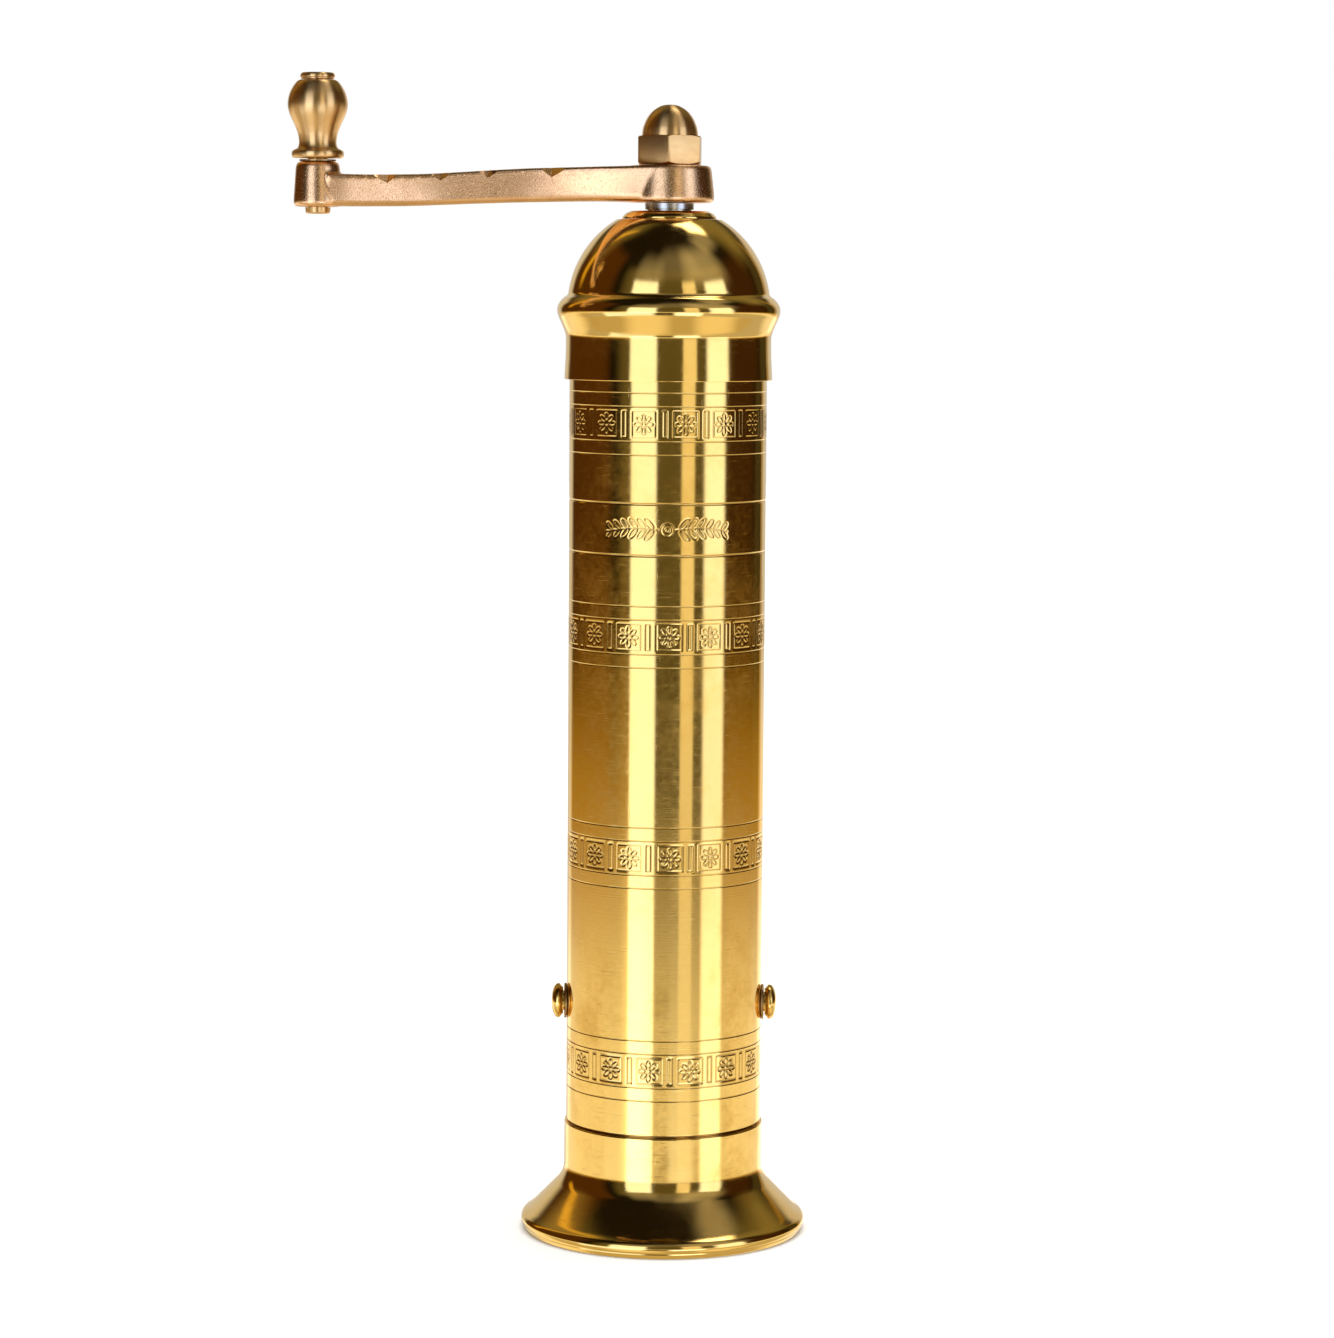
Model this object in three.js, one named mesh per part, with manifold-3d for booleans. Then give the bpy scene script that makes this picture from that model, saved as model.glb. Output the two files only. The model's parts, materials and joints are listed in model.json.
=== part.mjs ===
import * as THREE from "three";
import { mergeVertices } from "three/addons/utils/BufferGeometryUtils.js";
import { ConvexGeometry } from "three/addons/geometries/ConvexGeometry.js";
import Module from "manifold-3d";

// A hand-cranked brass spice mill. Millimetres, +Z up, standing on z = 0.
// Everything is drawn about the spindle, then moved along X so that the middle of the
// bounding box, crank included, is over the origin.

// Body
const TUBE_R = 19.4;
const TUBE_INNER_R = 17.4;
const TUBE_TOP_Z = 184.3;
const SHOULDER_Z = 22.6;
const SPIGOT_R = 18.6;
const SPIGOT_Z = 12.3;
const FOOT_R = 28.3;
const FOOT_COLLAR_R = 19.75;
const FOOT_COLLAR_Z = 21.9;
const FOOT_SOCKET_R = 18.75;
const FOOT_LEDGE_Z = 12.0;
const RIM_INNER_R = 26.3;
const RIM_OUTER_R = 27.5;

// Engraved rings round the tube: band centres, ring offsets from them, and the two wide lines
const BAND_Z = [35.2, 77.1, 120.15, 161.2];
const BAND_RING_OFFSET = 5.95;
const WIDE_RING_Z = [135.88, 145.86];
const RING_HALF = 0.5;
const WIDE_RING_HALF = 0.7;
const RING_DEPTH = 0.35;

// Cap
const DOME_R = 19.9;
const DOME_Z = 183.55;
const DOME_WALL = 1.0;
const DOME_FLAT_Z = 200.6;
const SKIRT_Z = 169.4;
const SKIRT_R = 20.4;
const SKIRT_INNER_R = 19.65;
const SEAT_Z = 184.6;
const BUSH_SHANK_R = 6.0;
const BUSH_BORE_R = 4.7;
const BUSH_TOP_Z = 202.25;
const BUSH_BOTTOM_Z = 190.0;

// Crank
const SLEEVE_R = 4.35;
const SLEEVE_COLLAR_R = 4.79;
const SLEEVE_BOTTOM_Z = 186.4;
const SLEEVE_COLLAR_Z = 202.55;
const ARM_SEAT_Z = 203.8;
const SOCKET_TOP_Z = 199.5;
const SOCKET_SIDE = 4.9;
const TANG_SIDE = 6.2;
const TANG_TOP_Z = 210.4;
const STUD_R = 3.0;
const STUD_TOP_Z = 219.4;
const HUB_TOP_Z = 211.1;
const CRANK_R = 68.8;
const BOSS_TOP_Z = 211.4;
const BOSS_BOTTOM_Z = 202.6;
const NUT_Z = 211.3;
const NUT_FLATS = 12.0;
const NUT_TURN = -3.3;

// Knob
const KNOB_R = 5.85;
const KNOB_BOTTOM_Z = 212.1;
const KNOB_TOP_Z = 227.2;
const PIN_R = 1.9;
const KNOB_BORE_R = 2.25;
const PIN_HEAD_R = 3.4;
const PIN_TOP_Z = 228.7;

// Grinding set
const BURR_BOTTOM_Z = 40.0;
const BURR_TOP_Z = 52.0;
const BURR_R = 17.2;
const BURR_FLAT_X = 14.4;
const BURR_SLOPE = 0.28;
const BURR_TIP_R = 8.2;
const BURR_TEETH = 12;
const TOOTH_DEPTH = 1.1;
const BURR_GAP = 0.35;
const CONE_TOP_Z = 54.0;
const SPINDLE_SIDE = 4.6;
const SPINDLE_TOP_Z = 198.2;
const JOURNAL_R = 2.4;
const JOURNAL_TOP_Z = 38.5;
const SPINDLE_END_Z = 35.2;
const SCREW_Z = 45.7;
const SCREW_R = 1.95;
const STRAP_HALF = 4.5;
const STRAP = 1.0;
const LOWER_LEG_X = 14.5;
const UPPER_LEG_X = 15.6;
const LOWER_BAR_Z = 28.0;
const UPPER_BAR_Z = 66.0;
const BAR = 1.5;
const BALL_R = 2.0;
const BALL_Z = 34.0;
const ADJUSTER_TOP_Z = 32.8;
const ADJUSTER_BOTTOM_Z = 18.2;
const WHEEL_Z = 20.0;
const WHEEL_T = 4.0;
const WHEEL_R = 7.0;
const CUP_R = 1.8;
const CUP_DEPTH = 1.3;

// Centre of the bounding box along X, seen from the spindle
const SPINDLE_X = (CRANK_R + KNOB_R - FOOT_R) / 2;

const BIG = 40;
const MID = 28;
const SMALL = 20;
const PI = Math.PI;

const wasm = await Module();
wasm.setup();

const BRASS = { color: 0xd9b25c, roughness: 0.28, metalness: 1.0 };
const CAST_BRASS = { color: 0xcf9f66, roughness: 0.42, metalness: 1.0 };
const BRONZE = { color: 0xa8743c, roughness: 0.45, metalness: 1.0 };
const STEEL = { color: 0xb9bcbf, roughness: 0.35, metalness: 1.0 };
const BURR_STEEL = { color: 0x55575a, roughness: 0.6, metalness: 1.0 };

const mill = new THREE.Group();
mill.name = "spice_mill";
mill.position.x = SPINDLE_X;

// ---------- Shape helpers ----------

function toSolid(geometry) {
  const plain = geometry.clone();
  plain.deleteAttribute("normal");
  plain.deleteAttribute("uv");
  const merged = mergeVertices(plain, 1e-4);
  const mesh = new wasm.Mesh({
    numProp: 3,
    vertProperties: merged.attributes.position.array,
    triVerts: new Uint32Array(merged.index.array),
  });
  return new wasm.Manifold(mesh);
}

function toGeometry(manifold) {
  const mesh = manifold.getMesh();
  const geometry = new THREE.BufferGeometry();
  const count = mesh.vertProperties.length / mesh.numProp;
  const positions = new Float32Array(count * 3);
  for (let i = 0; i < count; i += 1) {
    for (let k = 0; k < 3; k += 1) {
      positions[i * 3 + k] = mesh.vertProperties[i * mesh.numProp + k];
    }
  }
  geometry.setAttribute("position", new THREE.BufferAttribute(positions, 3));
  geometry.setIndex(Array.from(mesh.triVerts));
  geometry.computeVertexNormals();
  return geometry;
}

// Turned body about Z. Points are [radius, z], listed with the material on their left.
function lathe(points, segments) {
  const outline = points.map(([r, z]) => new THREE.Vector2(r, z));
  const geometry = new THREE.LatheGeometry(outline, segments);
  geometry.rotateX(PI / 2);
  return geometry;
}

// A turned ring or tube: the outline comes back to its first point.
function ring(points, segments) {
  return lathe([...points, points[0]], segments);
}

function washer(innerR, outerR, bottomZ, topZ, segments) {
  const section = [[innerR, bottomZ], [outerR, bottomZ], [outerR, topZ], [innerR, topZ]];
  return ring(section, segments);
}

function rod(radius, bottomZ, topZ, segments) {
  return lathe([[0, bottomZ], [radius, bottomZ], [radius, topZ], [0, topZ]], segments);
}

function box(sizeX, sizeY, bottomZ, topZ, x = 0, y = 0) {
  const geometry = new THREE.BoxGeometry(sizeX, sizeY, topZ - bottomZ);
  geometry.translate(x, y, (topZ + bottomZ) / 2);
  return geometry;
}

// Points on an arc in the [radius, z] plane, angles in degrees
function arc(centreR, centreZ, radius, from, to, steps) {
  const points = [];
  for (let i = 0; i <= steps; i += 1) {
    const angle = ((from + ((to - from) * i) / steps) * PI) / 180;
    points.push([centreR + radius * Math.cos(angle), centreZ + radius * Math.sin(angle)]);
  }
  return points;
}

// Turned body lying along X at the height z, its outline given as [radius, distance from the axis]
function sideways(geometry, side, z) {
  geometry.rotateY((side * PI) / 2);
  geometry.translate(0, 0, z);
  return geometry;
}

function cut(geometry, ...tools) {
  let body = toSolid(geometry);
  for (const tool of tools) {
    body = body.subtract(toSolid(tool));
  }
  return toGeometry(body);
}

function join(...pieces) {
  let body = toSolid(pieces[0]);
  for (const piece of pieces.slice(1)) {
    body = body.add(toSolid(piece));
  }
  return toGeometry(body);
}

function overlap(first, second) {
  return toGeometry(toSolid(first).intersect(toSolid(second)));
}

function addPart(name, geometry, finish) {
  const material = new THREE.MeshStandardMaterial(finish);
  material.name = `${name}_finish`;
  const mesh = new THREE.Mesh(geometry, material);
  mesh.name = name;
  mill.add(mesh);
}

// ---------- Foot: a bell-shaped casting, open underneath ----------

const footOutline = [
  [RIM_INNER_R, 0],
  [RIM_OUTER_R, 0],
  ...arc(26.8, 2.05, 1.5, -45, 50, 4),
  ...arc(25.5, 13.4, 5.75, 223, 180, 5),
  [FOOT_COLLAR_R, FOOT_COLLAR_Z],
  [FOOT_SOCKET_R, FOOT_COLLAR_Z],
  [FOOT_SOCKET_R, FOOT_LEDGE_Z],
  [16.5, FOOT_LEDGE_Z],
  [16.5, 10.5],
  [18.9, 10.3],
  [25.5, 3.0],
];
addPart("foot", ring(footOutline, BIG), BRASS);

// ---------- Barrel: one long tube with a spigot that is pressed into the foot ----------

function ringGroove(z, half) {
  return [[TUBE_R, z - half], [TUBE_R - RING_DEPTH, z], [TUBE_R, z + half]];
}

const grooves = [];
for (const centre of BAND_Z) {
  grooves.push([centre - BAND_RING_OFFSET, RING_HALF], [centre + BAND_RING_OFFSET, RING_HALF]);
}
for (const z of WIDE_RING_Z) {
  grooves.push([z, WIDE_RING_HALF]);
}
grooves.sort((a, b) => a[0] - b[0]);

const tubeOutline = [
  [TUBE_INNER_R, SPIGOT_Z],
  [SPIGOT_R, SPIGOT_Z],
  [SPIGOT_R, SHOULDER_Z],
  [TUBE_R, SHOULDER_Z],
  ...grooves.flatMap(([z, half]) => ringGroove(z, half)),
  [TUBE_R, TUBE_TOP_Z],
  [TUBE_INNER_R, TUBE_TOP_Z],
];
const screwHoles = new THREE.CylinderGeometry(SCREW_R + 0.2, SCREW_R + 0.2, 60, SMALL);
screwHoles.rotateZ(PI / 2);
screwHoles.translate(0, 0, SCREW_Z);
addPart("barrel_tube", cut(ring(tubeOutline, BIG), screwHoles), BRASS);

// ---------- Outer burr: a steel ring with a toothed bore that widens downwards ----------

const boreR = (z) => BURR_TIP_R + BURR_SLOPE * (BURR_TOP_Z - z);

// Cone with saw teeth. Each tooth rises slowly and drops fast.
function toothedCone(bottomZ, topZ, radiusAt, depth) {
  const positions = [];
  const levels = [bottomZ, topZ];
  const perTooth = 2;
  const count = BURR_TEETH * perTooth;
  for (const z of levels) {
    for (let i = 0; i < count; i += 1) {
      const tooth = Math.floor(i / perTooth);
      const valley = i % perTooth;
      const twist = ((z - bottomZ) / (topZ - bottomZ)) * 0.22;
      const angle = ((tooth + valley * 0.72) / BURR_TEETH) * 2 * PI + twist;
      const radius = radiusAt(z) + (valley ? depth : 0);
      positions.push(radius * Math.cos(angle), radius * Math.sin(angle), z);
    }
  }
  positions.push(0, 0, bottomZ, 0, 0, topZ);
  const indices = [];
  for (let i = 0; i < count; i += 1) {
    const next = (i + 1) % count;
    indices.push(i, next, count + next, i, count + next, count + i);
    indices.push(2 * count, next, i);
    indices.push(2 * count + 1, count + i, count + next);
  }
  const geometry = new THREE.BufferGeometry();
  geometry.setAttribute("position", new THREE.Float32BufferAttribute(positions, 3));
  geometry.setIndex(indices);
  return geometry;
}

const burrBlank = washer(5, BURR_R, BURR_BOTTOM_Z, BURR_TOP_Z, BIG);
const burrBore = toothedCone(BURR_BOTTOM_Z - 1, BURR_TOP_Z + 1, boreR, TOOTH_DEPTH);
const burrThreads = new THREE.CylinderGeometry(SCREW_R + 0.1, SCREW_R + 0.1, 10, SMALL);
burrThreads.rotateZ(PI / 2);
const flatCut = (side) => box(10, 40, BURR_BOTTOM_Z - 1, BURR_TOP_Z + 1, side * (BURR_FLAT_X + 5));
const outerBurr = cut(
  burrBlank,
  burrBore,
  flatCut(1),
  flatCut(-1),
  burrThreads.clone().translate(17.5, 0, SCREW_Z),
  burrThreads.clone().translate(-17.5, 0, SCREW_Z),
);
addPart("outer_burr", outerBurr, BURR_STEEL);

// ---------- Bridges: two bent straps that share the side screws with the burr ----------
// Each bar widens to a round eye for its bush.

function bridge(legX, barBottom, barTop, legBottom, legTop, holeR, eyeR) {
  const width = 2 * STRAP_HALF;
  const reach = 2 * (legX + STRAP);
  const legHoles = new THREE.CylinderGeometry(SCREW_R + 0.25, SCREW_R + 0.25, 60, SMALL);
  legHoles.rotateZ(PI / 2);
  legHoles.translate(0, 0, SCREW_Z);
  const strap = join(
    box(reach, width, barBottom, barTop),
    rod(eyeR, barBottom, barTop, MID),
    box(STRAP, width, legBottom, legTop, legX + STRAP / 2),
    box(STRAP, width, legBottom, legTop, -legX - STRAP / 2),
  );
  return cut(strap, legHoles, rod(holeR, barBottom - 1, barTop + 1, MID));
}

const UPPER_BUSH_R = 5.4;
const LOWER_BUSH_R = 3.95;
const upperTop = UPPER_BAR_Z + BAR;
const lowerTop = LOWER_BAR_Z + BAR;
const upperStrap = bridge(
  UPPER_LEG_X, UPPER_BAR_Z, upperTop, 41.2, upperTop, UPPER_BUSH_R + 0.1, 7.8,
);
const lowerStrap = bridge(
  LOWER_LEG_X, LOWER_BAR_Z, lowerTop, LOWER_BAR_Z, 49.8, LOWER_BUSH_R + 0.1, 6.4,
);
addPart("upper_bridge", upperStrap, STEEL);
addPart("lower_bridge", lowerStrap, STEEL);

const guideBore = 3.7;
const guideOutline = [
  [guideBore, UPPER_BAR_Z + 0.1],
  [UPPER_BUSH_R, UPPER_BAR_Z + 0.1],
  [UPPER_BUSH_R, UPPER_BAR_Z + BAR + 0.1],
  [7.2, UPPER_BAR_Z + BAR + 0.1],
  [7.2, UPPER_BAR_Z + BAR + 1.2],
  [6.8, UPPER_BAR_Z + BAR + 1.6],
  [guideBore, UPPER_BAR_Z + BAR + 1.6],
];
addPart("guide_bush", ring(guideOutline, MID), BRONZE);

const adjusterBore = STUD_R + 0.1;
const adjusterBushOutline = [
  [adjusterBore, LOWER_BAR_Z - 1.0],
  [4.6, LOWER_BAR_Z - 1.0],
  [4.6, LOWER_BAR_Z - 0.1],
  [LOWER_BUSH_R, LOWER_BAR_Z - 0.1],
  [LOWER_BUSH_R, LOWER_BAR_Z + BAR + 0.1],
  [5.6, LOWER_BAR_Z + BAR + 0.1],
  [5.6, LOWER_BAR_Z + BAR + 1.6],
  [5.2, LOWER_BAR_Z + BAR + 2.0],
  [adjusterBore, LOWER_BAR_Z + BAR + 2.0],
];
addPart("adjuster_bush", ring(adjusterBushOutline, SMALL), BRONZE);

// ---------- Side screws and the saddle washers that fit them to the tube ----------

for (const side of [1, -1]) {
  const word = side > 0 ? "right" : "left";
  const screwOutline = [
    [0, 12.6],
    [SCREW_R - 0.4, 12.6],
    [SCREW_R, 13.0],
    [SCREW_R, 20.05],
    [2.7, 20.05],
    [2.7, 20.35],
    [3.3, 20.6],
    [3.45, 21.0],
    [3.25, 21.55],
    [2.5, 22.05],
    [1.3, 22.34],
    [0, 22.4],
  ];
  addPart(`side_screw_${word}`, sideways(lathe(screwOutline, SMALL), side, SCREW_Z), BRASS);

  const shell = washer(TUBE_R + 0.1, TUBE_R + 0.5, SCREW_Z - 5, SCREW_Z + 5, BIG);
  const disc = sideways(washer(SCREW_R + 0.2, 3.5, 15, 22, SMALL), side, SCREW_Z);
  addPart(`saddle_washer_${word}`, overlap(shell, disc), BRASS);
}

// ---------- Spindle, inner burr and what carries them ----------

const spindleOutline = [
  [0, SPINDLE_END_Z + CUP_DEPTH],
  [CUP_R, SPINDLE_END_Z],
  [JOURNAL_R, SPINDLE_END_Z],
  [JOURNAL_R, JOURNAL_TOP_Z + 0.5],
  [0, JOURNAL_TOP_Z + 0.5],
];
const pinHole = new THREE.CylinderGeometry(0.9, 0.9, 10, 12);
pinHole.rotateZ(PI / 2);
pinHole.translate(0, 0, 37.6);
const spindleBar = box(SPINDLE_SIDE, SPINDLE_SIDE, JOURNAL_TOP_Z, SPINDLE_TOP_Z);
const spindle = cut(join(lathe(spindleOutline, SMALL), spindleBar), pinHole);
addPart("spindle", spindle, STEEL);

const burrPin = new THREE.CylinderGeometry(0.8, 0.8, 9, 12);
burrPin.rotateZ(PI / 2);
burrPin.translate(0, 0, 37.6);
addPart("burr_pin", burrPin, STEEL);
addPart("burr_thrust_washer", washer(3.5, 6.0, 38.7, 39.7, SMALL), STEEL);

const coneR = (z) => boreR(z) - BURR_GAP - TOOTH_DEPTH;
const coneBody = join(
  toothedCone(BURR_BOTTOM_Z, CONE_TOP_Z, coneR, TOOTH_DEPTH),
  rod(5.9, CONE_TOP_Z - 1, CONE_TOP_Z + 2.2, MID),
);
const burrSquare = box(SPINDLE_SIDE + 0.2, SPINDLE_SIDE + 0.2, BURR_BOTTOM_Z - 1, 60);
addPart("inner_burr", cut(coneBody, burrSquare), BURR_STEEL);

// Spring between the guide bush and the inner burr, ends closed
const SPRING_R = 5.2;
const SPRING_WIRE = 0.6;
const SPRING_TURNS = 4.5;
class SpringPath extends THREE.Curve {
  getPoint(t) {
    const angle = t * SPRING_TURNS * 2 * PI;
    const rise = THREE.MathUtils.smoothstep(t, 0.08, 0.92) * 0.75 + t * 0.25;
    const bottom = CONE_TOP_Z + 2.3 + SPRING_WIRE;
    const top = UPPER_BAR_Z - 0.1 - SPRING_WIRE;
    const z = bottom + (top - bottom) * rise;
    return new THREE.Vector3(SPRING_R * Math.cos(angle), SPRING_R * Math.sin(angle), z);
  }
}
const wire = new THREE.Shape();
for (let i = 0; i < 6; i += 1) {
  const angle = (i / 6) * 2 * PI;
  const x = SPRING_WIRE * Math.cos(angle);
  const y = SPRING_WIRE * Math.sin(angle);
  if (i === 0) {
    wire.moveTo(x, y);
  } else {
    wire.lineTo(x, y);
  }
}
const springShape = new THREE.ExtrudeGeometry(wire, {
  steps: 72,
  bevelEnabled: false,
  extrudePath: new SpringPath(),
});
addPart("burr_spring", springShape, STEEL);

const ballOutline = arc(0, BALL_Z, BALL_R, -90, 90, 8);
ballOutline[0][0] = 0;
ballOutline[8][0] = 0;
addPart("thrust_ball", lathe(ballOutline, 16), STEEL);

// ---------- Grind adjuster: a screw pushed up against the ball, turned by a wheel ----------

const adjusterOutline = [
  [0, ADJUSTER_BOTTOM_Z],
  [STUD_R - 0.5, ADJUSTER_BOTTOM_Z],
  [STUD_R, ADJUSTER_BOTTOM_Z + 0.5],
  [STUD_R, ADJUSTER_TOP_Z - 0.4],
  [STUD_R - 0.4, ADJUSTER_TOP_Z],
  [CUP_R, ADJUSTER_TOP_Z],
  [0, ADJUSTER_TOP_Z - CUP_DEPTH],
];
addPart("adjuster_stem", lathe(adjusterOutline, SMALL), STEEL);

const SCALLOPS = 12;
const wheelShape = new THREE.Shape();
for (let i = 0; i < SCALLOPS; i += 1) {
  const start = ((i - 0.3) / SCALLOPS) * 2 * PI;
  const end = ((i + 0.3) / SCALLOPS) * 2 * PI;
  const dip = ((i + 0.5) / SCALLOPS) * 2 * PI;
  if (i === 0) {
    wheelShape.moveTo(WHEEL_R * Math.cos(start), WHEEL_R * Math.sin(start));
  } else {
    wheelShape.lineTo(WHEEL_R * Math.cos(start), WHEEL_R * Math.sin(start));
  }
  wheelShape.lineTo(WHEEL_R * Math.cos(end), WHEEL_R * Math.sin(end));
  wheelShape.lineTo((WHEEL_R - 0.8) * Math.cos(dip), (WHEEL_R - 0.8) * Math.sin(dip));
}
const wheelHole = new THREE.Path();
wheelHole.absarc(0, 0, STUD_R + 0.1, 0, 2 * PI, true);
wheelShape.holes.push(wheelHole);
const wheel = new THREE.ExtrudeGeometry(wheelShape, {
  depth: WHEEL_T,
  bevelEnabled: false,
  curveSegments: SMALL / 2,
});
wheel.translate(0, 0, WHEEL_Z);
addPart("adjuster_wheel", wheel, BRASS);

// ---------- Cap: a spun dome with a rolled bead and a skirt that slips over the tube ----------

const domeAngle = (r) => (Math.acos(r / DOME_R) * 180) / PI;
const domeInnerR = DOME_R - DOME_WALL;
const innerAngle = (r) => (Math.acos(r / domeInnerR) * 180) / PI;
const flatR = Math.sqrt(DOME_R ** 2 - (DOME_FLAT_Z - DOME_Z) ** 2);
const innerFlatZ = DOME_FLAT_Z - DOME_WALL;
const innerFlatR = Math.sqrt(domeInnerR ** 2 - (innerFlatZ - DOME_Z) ** 2);
const seatR = Math.sqrt(domeInnerR ** 2 - (SEAT_Z - DOME_Z) ** 2);
const capOutline = [
  [SKIRT_INNER_R, SKIRT_Z],
  [SKIRT_R, SKIRT_Z],
  [20.15, 177.0],
  [20.45, 178.4],
  [21.2, 180.6],
  ...arc(19.9, 183.0, 2.0, -25, 55, 4),
  [20.2, 185.6],
  [19.75, 186.4],
  ...arc(0, DOME_Z, DOME_R, 12, domeAngle(flatR), 8),
  [BUSH_SHANK_R + 0.1, DOME_FLAT_Z],
  [BUSH_SHANK_R + 0.1, innerFlatZ],
  ...arc(0, DOME_Z, domeInnerR, innerAngle(innerFlatR), innerAngle(seatR), 7),
  [SKIRT_INNER_R, SEAT_Z],
];
addPart("dome_cap", ring(capOutline, BIG), BRASS);

const capBushOutline = [
  [BUSH_BORE_R, BUSH_BOTTOM_Z],
  [BUSH_SHANK_R - 0.4, BUSH_BOTTOM_Z],
  [BUSH_SHANK_R, BUSH_BOTTOM_Z + 0.4],
  [BUSH_SHANK_R, DOME_FLAT_Z + 0.1],
  [9.25, DOME_FLAT_Z + 0.1],
  [9.1, DOME_FLAT_Z + 0.6],
  [8.3, 201.8],
  [7.5, BUSH_TOP_Z],
  [BUSH_BORE_R, BUSH_TOP_Z],
];
addPart("cap_bush", ring(capBushOutline, MID), BRASS);

const jamNut = new THREE.CylinderGeometry(9.2, 9.2, 2.7, 6);
jamNut.rotateX(PI / 2);
jamNut.translate(0, 0, innerFlatZ - 1.45);
const jamHole = rod(BUSH_SHANK_R + 0.1, 190, 205, MID);
addPart("cap_bush_nut", cut(jamNut, jamHole), BRASS);

// ---------- Drive sleeve: slips over the square spindle and carries the crank ----------

const CLIP_GROOVE_R = 3.95;
const sleeveOutline = [
  [0, SLEEVE_BOTTOM_Z],
  [SLEEVE_R - 0.3, SLEEVE_BOTTOM_Z],
  [SLEEVE_R, SLEEVE_BOTTOM_Z + 0.3],
  [SLEEVE_R, 187.2],
  [CLIP_GROOVE_R, 187.2],
  [CLIP_GROOVE_R, 188.4],
  [SLEEVE_R, 188.4],
  [SLEEVE_R, SLEEVE_COLLAR_Z],
  [SLEEVE_COLLAR_R, SLEEVE_COLLAR_Z],
  [SLEEVE_COLLAR_R, ARM_SEAT_Z],
  [STUD_R, ARM_SEAT_Z],
  [STUD_R, STUD_TOP_Z - 0.5],
  [STUD_R - 0.5, STUD_TOP_Z],
  [0, STUD_TOP_Z],
];
const sleeveBlank = join(
  lathe(sleeveOutline, MID),
  box(TANG_SIDE, TANG_SIDE, ARM_SEAT_Z - 0.5, TANG_TOP_Z),
);
const sleeveSocket = box(SOCKET_SIDE, SOCKET_SIDE, SLEEVE_BOTTOM_Z - 1, SOCKET_TOP_Z);
addPart("drive_sleeve", cut(sleeveBlank, sleeveSocket), STEEL);
addPart("sleeve_washer", washer(SLEEVE_R + 0.15, 6.6, 188.75, 189.6, MID), STEEL);

// The retaining clip snaps in from the side, so its mouth is open towards -Y.
const clipBlank = washer(CLIP_GROOVE_R + 0.1, 5.9, 187.35, 188.25, MID);
addPart("sleeve_clip", cut(clipBlank, box(6.2, 8, 187, 189, 0, -5)), STEEL);

// ---------- Crank arm: cast, with a round hub, a slim waist and chip-carved edges ----------

// Sections along the arm: distance from the spindle, half width, bottom and top.
// The arm leaves the hub as a tangent and is slimmest in the middle.
const ARM_SECTIONS = [
  [3.5, 7.5, 203.9, 210.9],
  [5.5, 6.95, 203.95, 210.9],
  [8.5, 6.1, 204.0, 210.85],
  [13.0, 4.95, 204.05, 210.75],
  [18.0, 3.95, 204.0, 210.6],
  [24.0, 3.15, 203.85, 210.45],
  [30.0, 2.75, 203.7, 210.2],
  [39.0, 2.6, 203.35, 209.65],
  [46.0, 2.65, 203.05, 209.2],
  [52.0, 3.05, 202.85, 209.0],
  [58.0, 3.75, 202.8, 208.9],
  [63.0, 4.35, 202.75, 208.95],
  [66.5, 4.5, 202.8, 209.05],
];
const ARM_CORNER = 1.1;

function armSection([distance, half, bottom, top]) {
  const c = ARM_CORNER;
  const outline = [
    [half, bottom + c], [half, top - c * 0.6], [half - c * 0.6, top],
    [-half + c * 0.6, top], [-half, top - c * 0.6], [-half, bottom + c],
    [-half + c, bottom], [half - c, bottom],
  ];
  return outline.map(([y, z]) => [-distance, y, z]);
}

function loft(sections) {
  const count = sections[0].length;
  const positions = sections.flat(2);
  const indices = [];
  for (let s = 0; s < sections.length - 1; s += 1) {
    for (let i = 0; i < count; i += 1) {
      const a = s * count + i;
      const b = s * count + ((i + 1) % count);
      indices.push(a, a + count, b, b, a + count, b + count);
    }
  }
  const last = (sections.length - 1) * count;
  for (let i = 1; i < count - 1; i += 1) {
    indices.push(0, i, i + 1);
    indices.push(last, last + i + 1, last + i);
  }
  const geometry = new THREE.BufferGeometry();
  geometry.setAttribute("position", new THREE.Float32BufferAttribute(positions, 3));
  geometry.setIndex(indices);
  return geometry;
}

const hubOutline = [
  [0, ARM_SEAT_Z + 0.1],
  [8.2, ARM_SEAT_Z + 0.1],
  [8.75, ARM_SEAT_Z + 0.6],
  [8.7, 205.5],
  [8.2, 210.1],
  [7.6, HUB_TOP_Z],
  [0, HUB_TOP_Z],
];
const bossOutline = [
  [0, BOSS_BOTTOM_Z],
  [4.2, BOSS_BOTTOM_Z],
  [4.85, 203.2],
  [4.25, 210.7],
  [3.6, BOSS_TOP_Z],
  [0, BOSS_TOP_Z],
];
const boss = lathe(bossOutline, SMALL);
boss.translate(-CRANK_R, 0, 0);
const armBlank = join(loft(ARM_SECTIONS.map(armSection)), lathe(hubOutline, MID), boss);

// Chips: distance from the spindle, width along the edge, depth
const CHIPS = [
  [23.0, 5.4, 2.0],
  [35.4, 4.4, 1.8],
  [44.7, 4.4, 1.8],
  [55.0, 5.4, 2.0],
];

function along(distance, column) {
  const next = ARM_SECTIONS.findIndex((section) => section[0] >= distance);
  const [a, b] = [ARM_SECTIONS[next - 1], ARM_SECTIONS[next]];
  const t = (distance - a[0]) / (b[0] - a[0]);
  return a[column] + (b[column] - a[column]) * t;
}

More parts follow.
